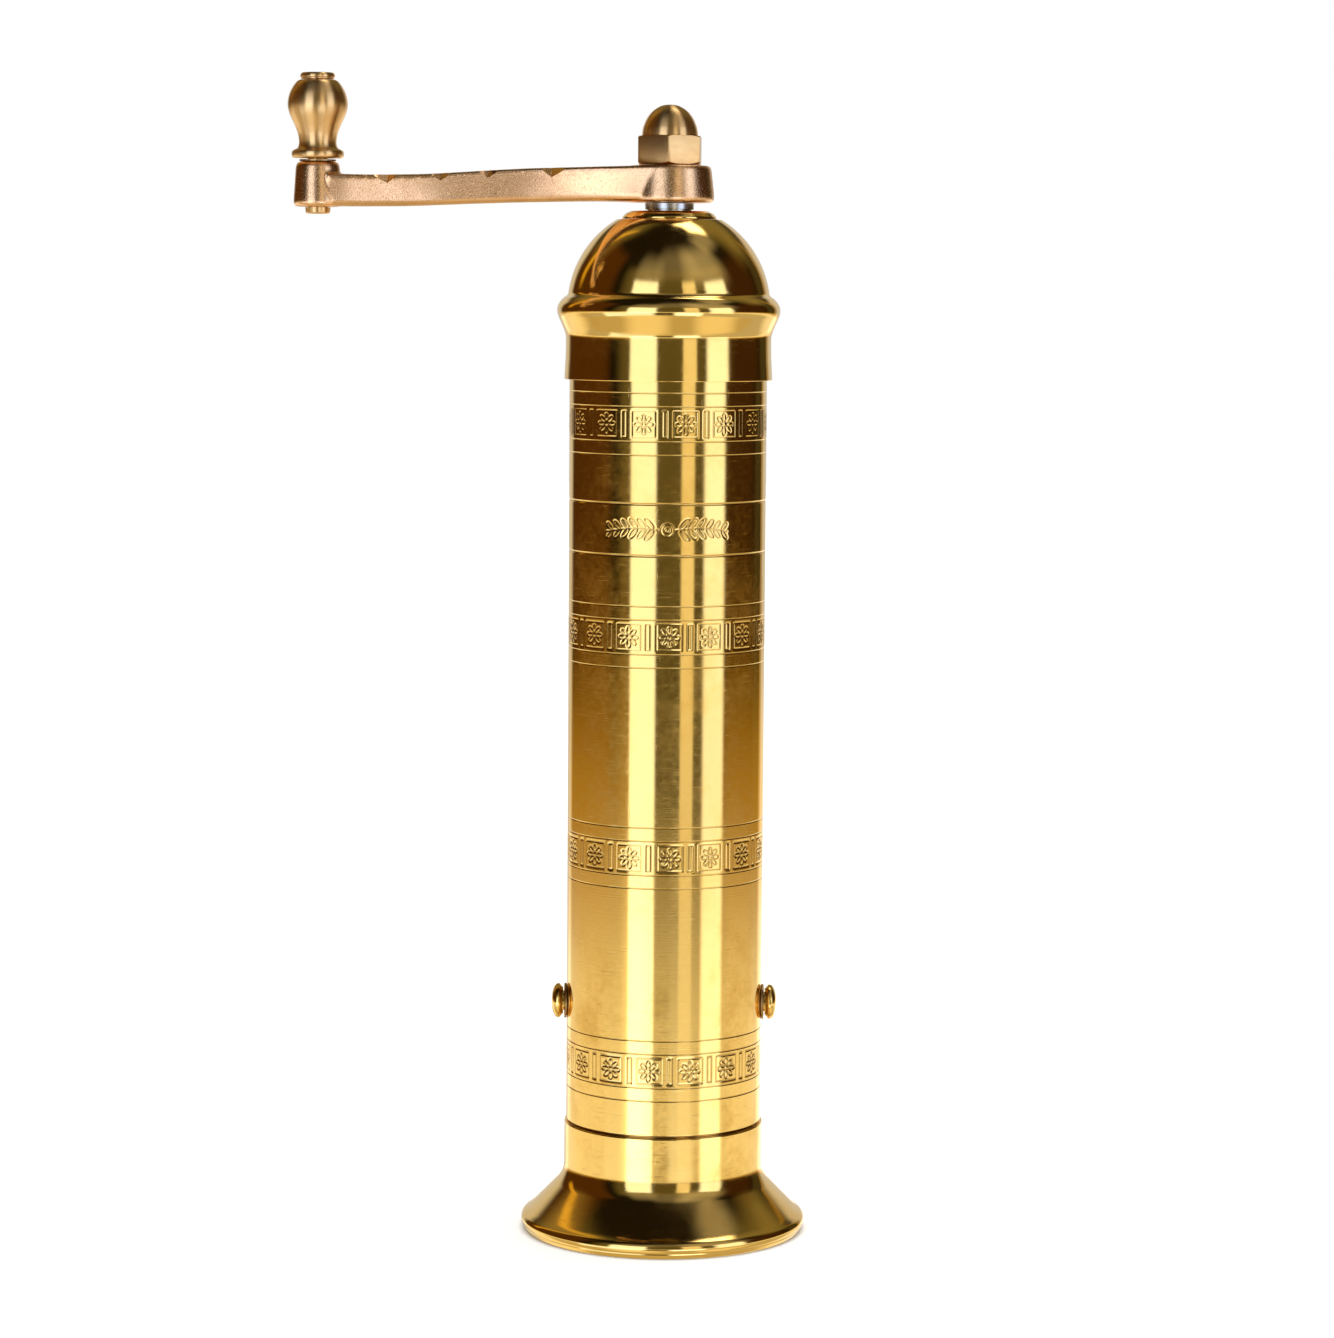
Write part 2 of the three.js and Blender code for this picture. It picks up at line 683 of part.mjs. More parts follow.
const chipCuts = [];
for (const [distance, width, depth] of CHIPS) {
  const half = along(distance, 1);
  const top = along(distance, 3);
  for (const side of [1, -1]) {
    const outside = side * (half + 1);
    chipCuts.push(new ConvexGeometry([
      new THREE.Vector3(-distance - width * 0.65, outside, top + 1),
      new THREE.Vector3(-distance + width * 0.65, outside, top + 1),
      new THREE.Vector3(-distance, outside, top - depth * 1.3),
      new THREE.Vector3(-distance, side * 0.7, top + 1),
    ]));
  }
}
const tangHole = box(TANG_SIDE + 0.2, TANG_SIDE + 0.2, 200, 220);
const pinBore = rod(PIN_R + 0.1, 200, 215, SMALL);
pinBore.translate(-CRANK_R, 0, 0);
addPart("crank_arm", cut(armBlank, tangHole, pinBore, ...chipCuts), CAST_BRASS);

// ---------- Acorn nut ----------

const hexR = NUT_FLATS / Math.sqrt(3);
const hexBlank = new THREE.CylinderGeometry(hexR, hexR, 5.5, 6);
hexBlank.rotateX(PI / 2);
hexBlank.translate(0, 0, NUT_Z + 2.75);
hexBlank.rotateZ((NUT_TURN * PI) / 180);
const chamferOutline = [
  [0, NUT_Z],
  [6.3, NUT_Z],
  [6.95, NUT_Z + 0.5],
  [6.95, 216.2],
  [6.2, 216.8],
  [0, 216.8],
];
const nutDome = [
  [0, 215.0],
  [5.5, 215.0],
  [5.45, 216.8],
  [5.2, 218.7],
  [4.5, 220.3],
  [3.3, 221.8],
  [1.8, 222.6],
  [0, 222.9],
];
const nutBody = join(overlap(hexBlank, lathe(chamferOutline, MID)), lathe(nutDome, MID));
addPart("acorn_nut", cut(nutBody, rod(STUD_R + 0.1, 205, 219.9, MID)), BRASS);

// ---------- Knob, turning on a riveted pin ----------

const pinOutline = [
  [0, 201.3],
  [2.3, 201.3],
  [2.5, 201.7],
  [2.5, 202.5],
  [PIN_R, 202.5],
  [PIN_R, KNOB_TOP_Z + 0.2],
  [3.2, KNOB_TOP_Z + 0.2],
  [PIN_HEAD_R, KNOB_TOP_Z + 0.4],
  [PIN_HEAD_R, 228.4],
  [3.0, PIN_TOP_Z],
  [0, PIN_TOP_Z],
];
const knobPin = lathe(pinOutline, SMALL);
knobPin.translate(-CRANK_R, 0, 0);
addPart("knob_pin", knobPin, BRASS);

const knobWasher = washer(PIN_R + 0.1, 3.6, 211.5, 211.8, SMALL);
knobWasher.translate(-CRANK_R, 0, 0);
addPart("knob_washer", knobWasher, BRONZE);

const knobOutline = [
  [KNOB_BORE_R, KNOB_BOTTOM_Z],
  [4.9, KNOB_BOTTOM_Z],
  [5.1, 212.8],
  [4.95, 213.6],
  [3.95, 214.1],
  [3.65, 215.0],
  [3.85, 216.7],
  [4.35, 218.1],
  [5.0, 219.5],
  [5.55, 220.8],
  [KNOB_R, 221.9],
  [KNOB_R, 222.9],
  [5.45, 224.6],
  [4.7, 226.0],
  [4.0, 226.85],
  [3.5, KNOB_TOP_Z],
  [KNOB_BORE_R, KNOB_TOP_Z],
];
const knob = ring(knobOutline, MID);
knob.translate(-CRANK_R, 0, 0);
addPart("knob", knob, BRASS);

export default mill;
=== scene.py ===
import json
import math

import bmesh
import bpy
import numpy as np
from mathutils import Matrix, Vector


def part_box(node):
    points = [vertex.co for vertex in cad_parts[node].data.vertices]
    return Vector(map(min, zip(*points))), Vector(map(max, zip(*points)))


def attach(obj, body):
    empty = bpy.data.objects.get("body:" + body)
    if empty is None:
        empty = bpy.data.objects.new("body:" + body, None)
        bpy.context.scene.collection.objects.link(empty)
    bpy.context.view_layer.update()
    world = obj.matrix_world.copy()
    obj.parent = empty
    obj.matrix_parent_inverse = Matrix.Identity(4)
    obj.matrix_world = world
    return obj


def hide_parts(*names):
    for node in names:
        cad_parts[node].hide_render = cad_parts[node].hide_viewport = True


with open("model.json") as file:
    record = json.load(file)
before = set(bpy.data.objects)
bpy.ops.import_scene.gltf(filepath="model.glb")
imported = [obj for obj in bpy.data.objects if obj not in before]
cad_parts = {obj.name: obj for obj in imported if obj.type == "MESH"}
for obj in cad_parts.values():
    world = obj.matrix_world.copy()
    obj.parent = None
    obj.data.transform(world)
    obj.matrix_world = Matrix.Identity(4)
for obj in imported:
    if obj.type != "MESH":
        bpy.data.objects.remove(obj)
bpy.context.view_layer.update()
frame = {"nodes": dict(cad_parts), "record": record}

# A tall hand-cranked brass mill. Outlines are in millimetres, as [radius, height], about
# the spindle; every object's origin is on its own axis of turning, at the table's height.

MM = 0.001
tube_low, tube_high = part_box("barrel_tube")
knob_low, knob_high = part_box("knob")
arm_low, arm_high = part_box("crank_arm")
foot_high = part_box("foot")[1]
cap_low, cap_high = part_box("dome_cap")

SPINDLE_X = (tube_low.x + tube_high.x) / 2 / MM
KNOB_X = (knob_low.x + knob_high.x) / 2 / MM
CRANK_R = SPINDLE_X - KNOB_X
TUBE_R = (tube_high.x - tube_low.x) / 2 / MM
TUBE_TOP = tube_high.z / MM
TUBE_BOTTOM = tube_low.z / MM
FOOT_TOP = foot_high.z / MM
ARM_TOP = arm_high.z / MM

FULL = 2 * math.pi
# How far beyond a fillet or a cut the plain wall gets its next row, in mm
SUPPORT = 0.04
# Edges sharper than this many degrees stay crisp in smooth shading
SHARP = 28


# ---------- Outlines ----------


def arc(centre_r, centre_z, radius, start, end, steps):
    """Points on an arc in the outline's plane; angles in degrees."""
    angles = np.radians(np.linspace(start, end, steps + 1))
    return [(centre_r + radius * math.cos(a), centre_z + radius * math.sin(a)) for a in angles]


def softened(corners, steps=5):
    """Rounds each corner (r, z, fillet) of an open outline; a corner with no fillet stays.
    A point just outside each fillet keeps the wall beside it flat in smooth shading."""
    points = []
    for i, corner in enumerate(corners):
        here = Vector(corner[:2])
        fillet = corner[2] if len(corner) > 2 else 0
        if not fillet or i in (0, len(corners) - 1):
            points.append(tuple(here))
            continue
        before = Vector(corners[i - 1][:2]) - here
        after = Vector(corners[i + 1][:2]) - here
        reach = min(fillet, before.length * 0.49, after.length * 0.49)
        start = here + before.normalized() * reach
        end = here + after.normalized() * reach
        if before.length > 3 * reach:
            points.append(tuple(start + before.normalized() * SUPPORT))
        for k in range(steps + 1):
            t = k / steps
            point = start * (1 - t) ** 2 + here * 2 * t * (1 - t) + end * t**2
            points.append(tuple(point))
        if after.length > 3 * reach:
            points.append(tuple(end + after.normalized() * SUPPORT))
    return points


def spline(points, steps=6):
    """A Catmull-Rom curve through all the points."""
    pts = [Vector(p) for p in points]
    pts = [pts[0] * 2 - pts[1], *pts, pts[-1] * 2 - pts[-2]]
    out = []
    for a, b, c, d in zip(pts, pts[1:], pts[2:], pts[3:]):
        for k in range(steps):
            t = k / steps
            out.append(
                0.5
                * (
                    b * 2
                    + (c - a) * t
                    + (a * 2 - b * 5 + c * 4 - d) * t**2
                    + (b * 3 - a - c * 3 + d) * t**3
                )
            )
    out.append(pts[-2])
    return [tuple(p) for p in out]


# ---------- Meshes ----------


def new_piece(name, verts, faces, body, stands_for, material, x=SPINDLE_X):
    """A smooth mesh whose verts are in mm about the axis at x, riding on a CAD body."""
    mesh = bpy.data.meshes.new(name)
    mesh.from_pydata([tuple(c * MM for c in v) for v in verts], [], faces)
    mesh.validate()
    obj = bpy.data.objects.new(name, mesh)
    bpy.context.scene.collection.objects.link(obj)
    obj.location.x = x * MM
    tidy_mesh(mesh)
    dress(obj, body, stands_for, material)
    return obj


def tidy_mesh(mesh):
    """Joins doubled points, turns the faces outwards and shades them smooth."""
    bm = bmesh.new()
    bm.from_mesh(mesh)
    bmesh.ops.remove_doubles(bm, verts=bm.verts, dist=1e-7)
    bmesh.ops.recalc_face_normals(bm, faces=bm.faces)
    bm.to_mesh(mesh)
    bm.free()
    mesh.shade_smooth()
    mesh.set_sharp_from_angle(angle=math.radians(SHARP))


def dress(obj, body, stands_for, material):
    """Gives a piece its material, hangs it on its body and hides the CAD nodes that it stands for.
    """
    obj.data.materials.clear()
    obj.data.materials.append(material)
    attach(obj, body)
    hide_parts(*stands_for)


def turned_faces(outline, segments):
    """Verts and faces of an outline turned about Z. An outline off the axis is closed on itself."""
    verts, rings = [], []
    for r, z in outline:
        if abs(r) < 1e-6:
            rings.append([len(verts)])
            verts.append((0, 0, z))
            continue
        rings.append(list(range(len(verts), len(verts) + segments)))
        for k in range(segments):
            a = FULL * k / segments
            verts.append((r * math.cos(a), r * math.sin(a), z))
    pairs = list(zip(rings, rings[1:]))
    if len(rings[0]) > 1:
        pairs.append((rings[-1], rings[0]))
    faces = []
    for low, high in pairs:
        for k in range(segments):
            n = (k + 1) % segments
            if len(low) == 1 and len(high) == 1:
                continue
            if len(low) == 1:
                faces.append((low[0], high[n], high[k]))
            elif len(high) == 1:
                faces.append((low[k], low[n], high[0]))
            else:
                faces.append((low[k], low[n], high[n], high[k]))
    return verts, faces


def turned(name, outline, body, stands_for, material, x=SPINDLE_X, segments=160):
    """A piece turned from an outline."""
    verts, faces = turned_faces(outline, segments)
    return new_piece(name, verts, faces, body, stands_for, material, x)


def loose_object(name, verts, faces):
    """A tool or a blank, in mm about the spindle, not yet part of the mill."""
    mesh = bpy.data.meshes.new(name)
    mesh.from_pydata([tuple(c * MM for c in v) for v in verts], [], faces)
    obj = bpy.data.objects.new(name, mesh)
    bpy.context.scene.collection.objects.link(obj)
    obj.location.x = SPINDLE_X * MM
    tidy_mesh(mesh)
    return obj


def box_verts(low, high):
    """Verts and faces of a box between two corners."""
    (x0, y0, z0), (x1, y1, z1) = low, high
    verts = [(x, y, z) for z in (z0, z1) for y in (y0, y1) for x in (x0, x1)]
    faces = [(0, 2, 3, 1), (4, 5, 7, 6), (0, 1, 5, 4), (2, 6, 7, 3), (0, 4, 6, 2), (1, 3, 7, 5)]
    return verts, faces


def apply_modifiers(obj):
    """Makes the object's modified mesh its own."""
    graph = bpy.context.evaluated_depsgraph_get()
    graph.update()
    mesh = bpy.data.meshes.new_from_object(obj.evaluated_get(graph))
    old = obj.data
    obj.modifiers.clear()
    obj.data = mesh
    bpy.data.meshes.remove(old)


def combine(obj, tools, operation):
    """Exact boolean of obj with each tool; the tools are used up."""
    for tool in tools:
        step = obj.modifiers.new("combine", "BOOLEAN")
        step.operation = operation
        step.solver = "EXACT"
        step.object = tool
        bpy.context.view_layer.update()
        apply_modifiers(obj)
        mesh = tool.data
        bpy.data.objects.remove(tool)
        bpy.data.meshes.remove(mesh)


# ---------- Materials ----------


class Nodes:
    """A short way to write a material's nodes."""

    def __init__(self, tree):
        self.tree = tree
        tree.nodes.clear()

    def add(self, kind, inputs=(), **settings):
        node = self.tree.nodes.new(kind)
        for key, value in settings.items():
            setattr(node, key, value)
        for key, value in dict(inputs).items():
            self.set(node, key, value)
        return node

    def set(self, node, key, value):
        socket = node.inputs[key]
        if isinstance(value, bpy.types.NodeSocket):
            self.tree.links.new(value, socket)
        else:
            socket.default_value = value

    def math(self, operation, a, b=0.0, clamp=False):
        node = self.add("ShaderNodeMath", operation=operation, use_clamp=clamp)
        self.set(node, 0, a)
        self.set(node, 1, b)
        return node.outputs[0]

    def ramp(self, value, low, high, to_low=0.0, to_high=1.0):
        inputs = {
            "Value": value,
            "From Min": low,
            "From Max": high,
            "To Min": to_low,
            "To Max": to_high,
        }
        node = self.add("ShaderNodeMapRange", inputs, interpolation_type="SMOOTHSTEP")
        return node.outputs[0]

    def mix(self, factor, a, b, blend="MIX"):
        node = self.add("ShaderNodeMix", data_type="RGBA", blend_type=blend)
        self.set(node, 0, factor)
        self.set(node, 6, a)
        self.set(node, 7, b)
        return node.outputs[2]

    def noise(self, vector, scale, detail=3.0, rough=0.5):
        inputs = {"Vector": vector, "Scale": scale, "Detail": detail, "Roughness": rough}
        return self.add("ShaderNodeTexNoise", inputs).outputs["Fac"]


def rgba(r, g, b):
    return (r, g, b, 1.0)


# Scales of the two tarnish clouds, depths of scratches in mm, and the colour of dirt and painted
# shade in the engraved lines and cut grooves
CLOUD_SCALE = 45
STAIN_SCALE = 170
SCRATCH_DEPTH = 0.0016
SLANT_DEPTH = 0.002
LINES_PER_METRE = 4200.0
GROOVE_DIRT_AND_SHADE_COLOUR = rgba(0.16, 0.075, 0.02)
PIT_DARKNESS = 0.45


def metal(
    name,
    bright,
    dull,
    roughness,
    turning=0.0,
    grain=0.0,
    speckle=0.0,
    grain_scale=900,
    anisotropy=0.0,
    groove_dirt_and_shade=0.0,
    patches=0.5,
):
    """Metal with tarnish, turning lines round Z, fine scratches, cast grain, and grooves darkened
    by their depth with painted shade and dirt.

    turning, grain and speckle are heights in mm."""
    material = bpy.data.materials.new(name)
    material.use_nodes = True
    n = Nodes(material.node_tree)
    place = n.add("ShaderNodeTexCoord").outputs["Object"]
    axes = n.add("ShaderNodeSeparateXYZ", {0: place})

    cloud = n.noise(place, CLOUD_SCALE, 4, 0.6)
    stain = n.noise(place, STAIN_SCALE, 5, 0.65)
    blotch = n.math("ADD", n.math("MULTIPLY", cloud, 0.6), n.math("MULTIPLY", stain, 0.4))
    tarnish = n.ramp(blotch, 0.46, 0.66, 0.0, patches)
    colour = n.mix(tarnish, bright, dull)

    scratch_place = n.add("ShaderNodeMapping", {"Vector": place, "Scale": (220, 220, 3600)})
    scratches = n.noise(scratch_place.outputs[0], 1.0, 2, 0.7)
    scratch_mask = n.ramp(scratches, 0.60, 0.74)
    slant = n.add(
        "ShaderNodeMapping",
        {"Vector": place, "Rotation": (0.5, 0.9, 0.3), "Scale": (2600, 150, 150)},
    )
    slanting = n.ramp(n.noise(slant.outputs[0], 1.0, 2, 0.6), 0.66, 0.78)

    fine = n.noise(place, grain_scale, 3, 0.6)
    pits = n.add("ShaderNodeTexVoronoi", {"Vector": place, "Scale": grain_scale * 0.8})
    pit_mask = n.ramp(pits.outputs["Distance"], 0.12, 0.34, 1.0, 0.0)

    along = n.math("MULTIPLY", axes.outputs["Z"], LINES_PER_METRE)
    line_inputs = {"W": along, "Scale": 1.0, "Detail": 2.0}
    lines = n.add("ShaderNodeTexNoise", line_inputs, noise_dimensions="1D").outputs["Fac"]

    height = n.math("MULTIPLY", lines, turning * MM)
    height = n.math("ADD", height, n.math("MULTIPLY", fine, grain * MM))
    height = n.math("SUBTRACT", height, n.math("MULTIPLY", pit_mask, speckle * MM))
    height = n.math("SUBTRACT", height, n.math("MULTIPLY", scratch_mask, SCRATCH_DEPTH * MM))
    height = n.math("SUBTRACT", height, n.math("MULTIPLY", slanting, SLANT_DEPTH * MM))
    bump = n.add("ShaderNodeBump", {"Strength": 1.0, "Distance": 1.0, "Height": height})

    gloss = n.math("ADD", roughness, n.math("MULTIPLY", tarnish, 0.10))
    gloss = n.math("ADD", gloss, n.math("MULTIPLY", n.math("SUBTRACT", fine, 0.5), 0.12))
    gloss = n.math("ADD", gloss, n.math("MULTIPLY", scratch_mask, 0.06), clamp=True)

    # Painted shade and dirt: the engraved attribute darkens cuts, grooves and gaps by their depth
    # towards a dark brown, and makes them rougher
    if groove_dirt_and_shade:
        depth = n.add("ShaderNodeAttribute", attribute_name="engraved").outputs["Fac"]
        dirt_and_shade = n.math("MULTIPLY", depth, groove_dirt_and_shade, clamp=True)
        colour = n.mix(dirt_and_shade, colour, GROOVE_DIRT_AND_SHADE_COLOUR)
        gloss = n.math("ADD", gloss, n.math("MULTIPLY", dirt_and_shade, 0.2), clamp=True)
    if speckle:
        colour = n.mix(n.math("MULTIPLY", pit_mask, PIT_DARKNESS), colour, dull)

    inputs = {
        "Base Color": colour,
        "Metallic": 1.0,
        "Roughness": gloss,
        "Normal": bump.outputs[0],
    }
    if anisotropy:
        inputs["Anisotropic"] = anisotropy
        inputs["Anisotropic Rotation"] = 0.25
        inputs["Tangent"] = n.add("ShaderNodeTangent", direction_type="RADIAL", axis="Z").outputs[0]
    shader = n.add("ShaderNodeBsdfPrincipled", inputs)
    n.add("ShaderNodeOutputMaterial", {"Surface": shader.outputs[0]})
    return material


# Polished brass, whose cut grooves and gaps are darkened with painted shade and dirt
BRASS = metal(
    "brass_polished",
    rgba(0.93, 0.63, 0.20),
    rgba(0.84, 0.50, 0.11),
    0.10,
    turning=0.0010,
    grain=0.0016,
    anisotropy=0.6,
    groove_dirt_and_shade=0.6,
    patches=0.6,
)
TURNED = metal(
    "brass_turned",
    rgba(0.88, 0.56, 0.25),
    rgba(0.74, 0.42, 0.15),
    0.30,
    turning=0.008,
    grain=0.003,
    anisotropy=0.85,
    patches=0.6,
)
CAST = metal(
    "brass_cast",
    rgba(0.95, 0.58, 0.32),
    rgba(0.66, 0.36, 0.17),
    0.25,
    grain=0.020,
    speckle=0.012,
    grain_scale=3600,
    patches=0.55,
)
BRONZE = metal(
    "bush_bronze", rgba(0.62, 0.40, 0.17), rgba(0.35, 0.20, 0.08), 0.38, turning=0.006, patches=0.8
)
STEEL = metal(
    "steel",
    rgba(0.66, 0.66, 0.67),
    rgba(0.30, 0.28, 0.27),
    0.26,
    turning=0.010,
    grain=0.004,
    grain_scale=1800,
    patches=0.8,
)
BURR_STEEL = metal(
    "burr_steel", rgba(0.30, 0.30, 0.31), rgba(0.12, 0.10, 0.09), 0.45, grain=0.02, patches=0.9
)
SLOT_MATERIALS = {
    "brass_polished": BRASS,
    "brass_turned": TURNED,
    "brass_cast": CAST,
    "bush_bronze": BRONZE,
    "steel": STEEL,
    "burr_steel": BURR_STEEL,
}

CAD_SHARP = 32
for part in frame["record"]["subparts"]:
    cad_mesh = frame["nodes"][part["node"]].data
    cad_mesh.materials.clear()
    cad_mesh.materials.append(SLOT_MATERIALS[part["material_slot"]])
    cad_mesh.shade_smooth()
    cad_mesh.set_sharp_from_angle(angle=math.radians(CAD_SHARP))


# ---------- Foot ----------

FOOT_NECK_R = 19.75
FOOT_BORE_R = 18.75
FOOT_STEP_R = 16.5
foot_outline = [
    (26.3, 0.0),
    *softened([(26.3, 0.0), (27.35, 0.0, 0.2), (27.9, 0.85)], 3)[1:],
    *arc(26.8, 2.05, 1.5, -42, 62, 12),
    (26.5, 4.05),
    *arc(25.5, 13.4, 5.75, 224, 180, 22),
    *softened(
        [
            (FOOT_NECK_R, 14.0),
            (FOOT_NECK_R, FOOT_TOP, 0.25),
            (FOOT_BORE_R, FOOT_TOP, 0.15),
            (FOOT_BORE_R, 12.0),
            (FOOT_STEP_R, 12.0, 0.3),
            (FOOT_STEP_R, 10.5, 0.8),
            (18.9, 10.3, 1.5),
            (25.5, 3.0, 1.2),
            (26.3, 0.0),
        ]
    )[:-1],
]
turned("foot_casting", foot_outline, "body", ["foot"], BRASS, segments=224)


# ---------- Barrel, with its engraved rings, rosettes and sprig ----------

# Middle heights of the rosette bands, and how far in degrees each one is turned
BAND_Z = [35.2, 77.1, 120.15, 161.2]
BAND_PHASE = [15.6, 2.9, 1.6, 10.2]
BAND_HALF = 2.78
ROSETTES = 15
PETALS = 8
# Rings: distances from a band's middle, and (half width, depth) of narrow and wide ones
RING_OFFSETS = [3.35, 5.95]
NARROW_RING = (0.15, 0.07)
WIDE_RING = (0.30, 0.14)
WIDE_RING_Z = [135.88, 145.86]
# The sprigs: middle height, half height, half width, leaf pairs a side and the stem's wave
SPRIG_Z = (WIDE_RING_Z[0] + WIDE_RING_Z[1]) / 2
SPRIG_TALL = 3.4
SPRIG_HALF = 13.6
LEAF_PAIRS = 6
STEM_WAVE = 1.1 * math.pi / 12.5
# Columns of points round the tube; engraved rows have them all, plain rows one in six
COARSE = 140
FINE_PER_COARSE = 6
FINE = COARSE * FINE_PER_COARSE
SHOULDER_Z = FOOT_TOP + 0.45
SPIGOT_R = 18.6
TUBE_INNER_R = 17.4
STROKE_DEPTH = 0.075
# A distance that no stroke reaches
FAR = 9.0


def stroke(distance, half):
    """Depth, 0 to 1, of a graver's cut at a distance from its centre line."""
    return np.clip(1 - distance / half, 0, 1) ** 0.85


def box_outline_distance(u, v, half_u, half_v):
    """Distance to the outline of a rectangle."""
    du = np.abs(u) - half_u
    dv = np.abs(v) - half_v
    outside = np.hypot(np.maximum(du, 0), np.maximum(dv, 0))
    return np.abs(outside + np.minimum(np.maximum(du, dv), 0))


def ellipse_outline_distance(u, v, a, b):
    """Distance, nearly, to the outline of an ellipse."""
    level = np.hypot(u / a, v / b) + 1e-9
    slope = np.hypot(u / a**2, v / b**2) / level + 1e-9
    return np.abs(level - 1) / slope


def turned_about(u, v, angle):
    """Places along and across a direction at the angle."""
    return u * math.cos(angle) + v * math.sin(angle), v * math.cos(angle) - u * math.sin(angle)


def rosette_band(around, up, phase):
    """Framed eight-petalled rosettes with an upright bar between each two."""
    pitch = FULL * TUBE_R / ROSETTES
    u = (around - math.radians(phase) * TUBE_R + pitch / 2) % pitch - pitch / 2
    depth = stroke(box_outline_distance(u, up, 2.45, 2.5), 0.17) * 0.8
    for k in range(PETALS):
        along, across = turned_about(u, up, k * FULL / PETALS)
        petal = ellipse_outline_distance(along - 1.32, across, 0.72, 0.40)
        petal = np.where(along > 0.45, petal, FAR)
        depth = np.maximum(depth, stroke(petal, 0.17))
    depth = np.maximum(depth, stroke(np.abs(np.hypot(u, up) - 0.42), 0.15))
    bar_u = (u + pitch) % pitch - pitch / 2
    bar = stroke(box_outline_distance(bar_u, up, 0.46, 2.5), 0.18)
    return np.maximum(depth, bar)


def stem_height(side):
    """Height of a sprig's waving stem at a distance from the middle."""
    return 0.55 * np.sin(side * STEM_WAVE) - 0.2


def sprig(around, up):
    """Two laurel sprigs that meet at a small ring: generic ornament."""
    side = np.abs(around)
    from_stem = np.abs(up - stem_height(side))
    depth = stroke(np.where((side > 1.5) & (side < 12.6), from_stem, FAR), 0.22)
    depth = np.maximum(depth, stroke(np.abs(np.hypot(around, up) - 1.25), 0.22))
    depth = np.maximum(depth, stroke(np.abs(np.hypot(around, up) - 0.45), 0.2))
    for k in range(LEAF_PAIRS):
        root = 2.4 + k * 1.75
        size = 1.0 - 0.06 * k
        for direction in (1, -1):
            along, across = turned_about(side - root, up - stem_height(root), direction * 0.85)
            leaf = ellipse_outline_distance(along - 1.45 * size, across, 1.3 * size, 0.5 * size)
            depth = np.maximum(depth, stroke(leaf, 0.2))
            rib = np.where((along > 0.1) & (along < 2.2 * size), np.abs(across), FAR)
            depth = np.maximum(depth, stroke(rib, 0.13) * 0.7)
    return depth


def ring_rows(z, half, depth):
    """Rows of a cut ring, with a row of plain wall close to each rim."""
    cut = [(z + half * t, TUBE_R - depth * (1 - t * t)) for t in np.linspace(-1, 1, 7)]
    return [(z - half - SUPPORT, TUBE_R), *cut, (z + half + SUPPORT, TUBE_R)]


def barrel_rows():
    """(height, radius, style) from shoulder to top; style is None, a band's number or "sprig"."""
    rows = [(SHOULDER_Z, TUBE_R - 0.12, None), (SHOULDER_Z + 0.04, TUBE_R - 0.03, None)]
    rows += [(SHOULDER_Z + 0.12, TUBE_R, None), (SHOULDER_Z + 0.18, TUBE_R, None)]
    marks = []
    for number, centre in enumerate(BAND_Z):
        for offset in RING_OFFSETS:
            for sign in (-1, 1):
                marks.append(ring_rows(centre + sign * offset, *NARROW_RING))
        marks.append((centre, BAND_HALF, number))
    for z in WIDE_RING_Z:
        marks.append(ring_rows(z, *WIDE_RING))
    marks.append((SPRIG_Z, SPRIG_TALL, "sprig"))
    for mark in marks:
        if isinstance(mark, list):
            rows.extend((z, r, None) for z, r in mark)
            continue
        centre, half, style = mark
        count = int(half * 2 / (FULL * TUBE_R / FINE))
        rows.extend((z, TUBE_R, style) for z in np.linspace(centre - half, centre + half, count))
    for z in np.arange(SHOULDER_Z + 2, TUBE_TOP - 0.5, 3.0):
        if all(abs(z - row[0]) > 0.8 for row in rows):
            rows.append((z, TUBE_R, None))
    rows += [(TUBE_TOP - 0.34, TUBE_R, None), (TUBE_TOP - 0.3, TUBE_R, None)]
    return sorted(rows, key=lambda row: row[0])


def columns_of(style):
    """Which of the fine columns a row has. All rows have the coarse ones."""
    if style is None:
        return list(range(0, FINE, FINE_PER_COARSE))
    if style != "sprig":
        return list(range(FINE))
    kept = []
    for k in range(FINE):
        angle = FULL * k / FINE
        ahead = abs((angle + FULL / 4 + math.pi) % FULL - math.pi)
        if k % FINE_PER_COARSE == 0 or ahead < SPRIG_HALF / TUBE_R:
            kept.append(k)
    return kept


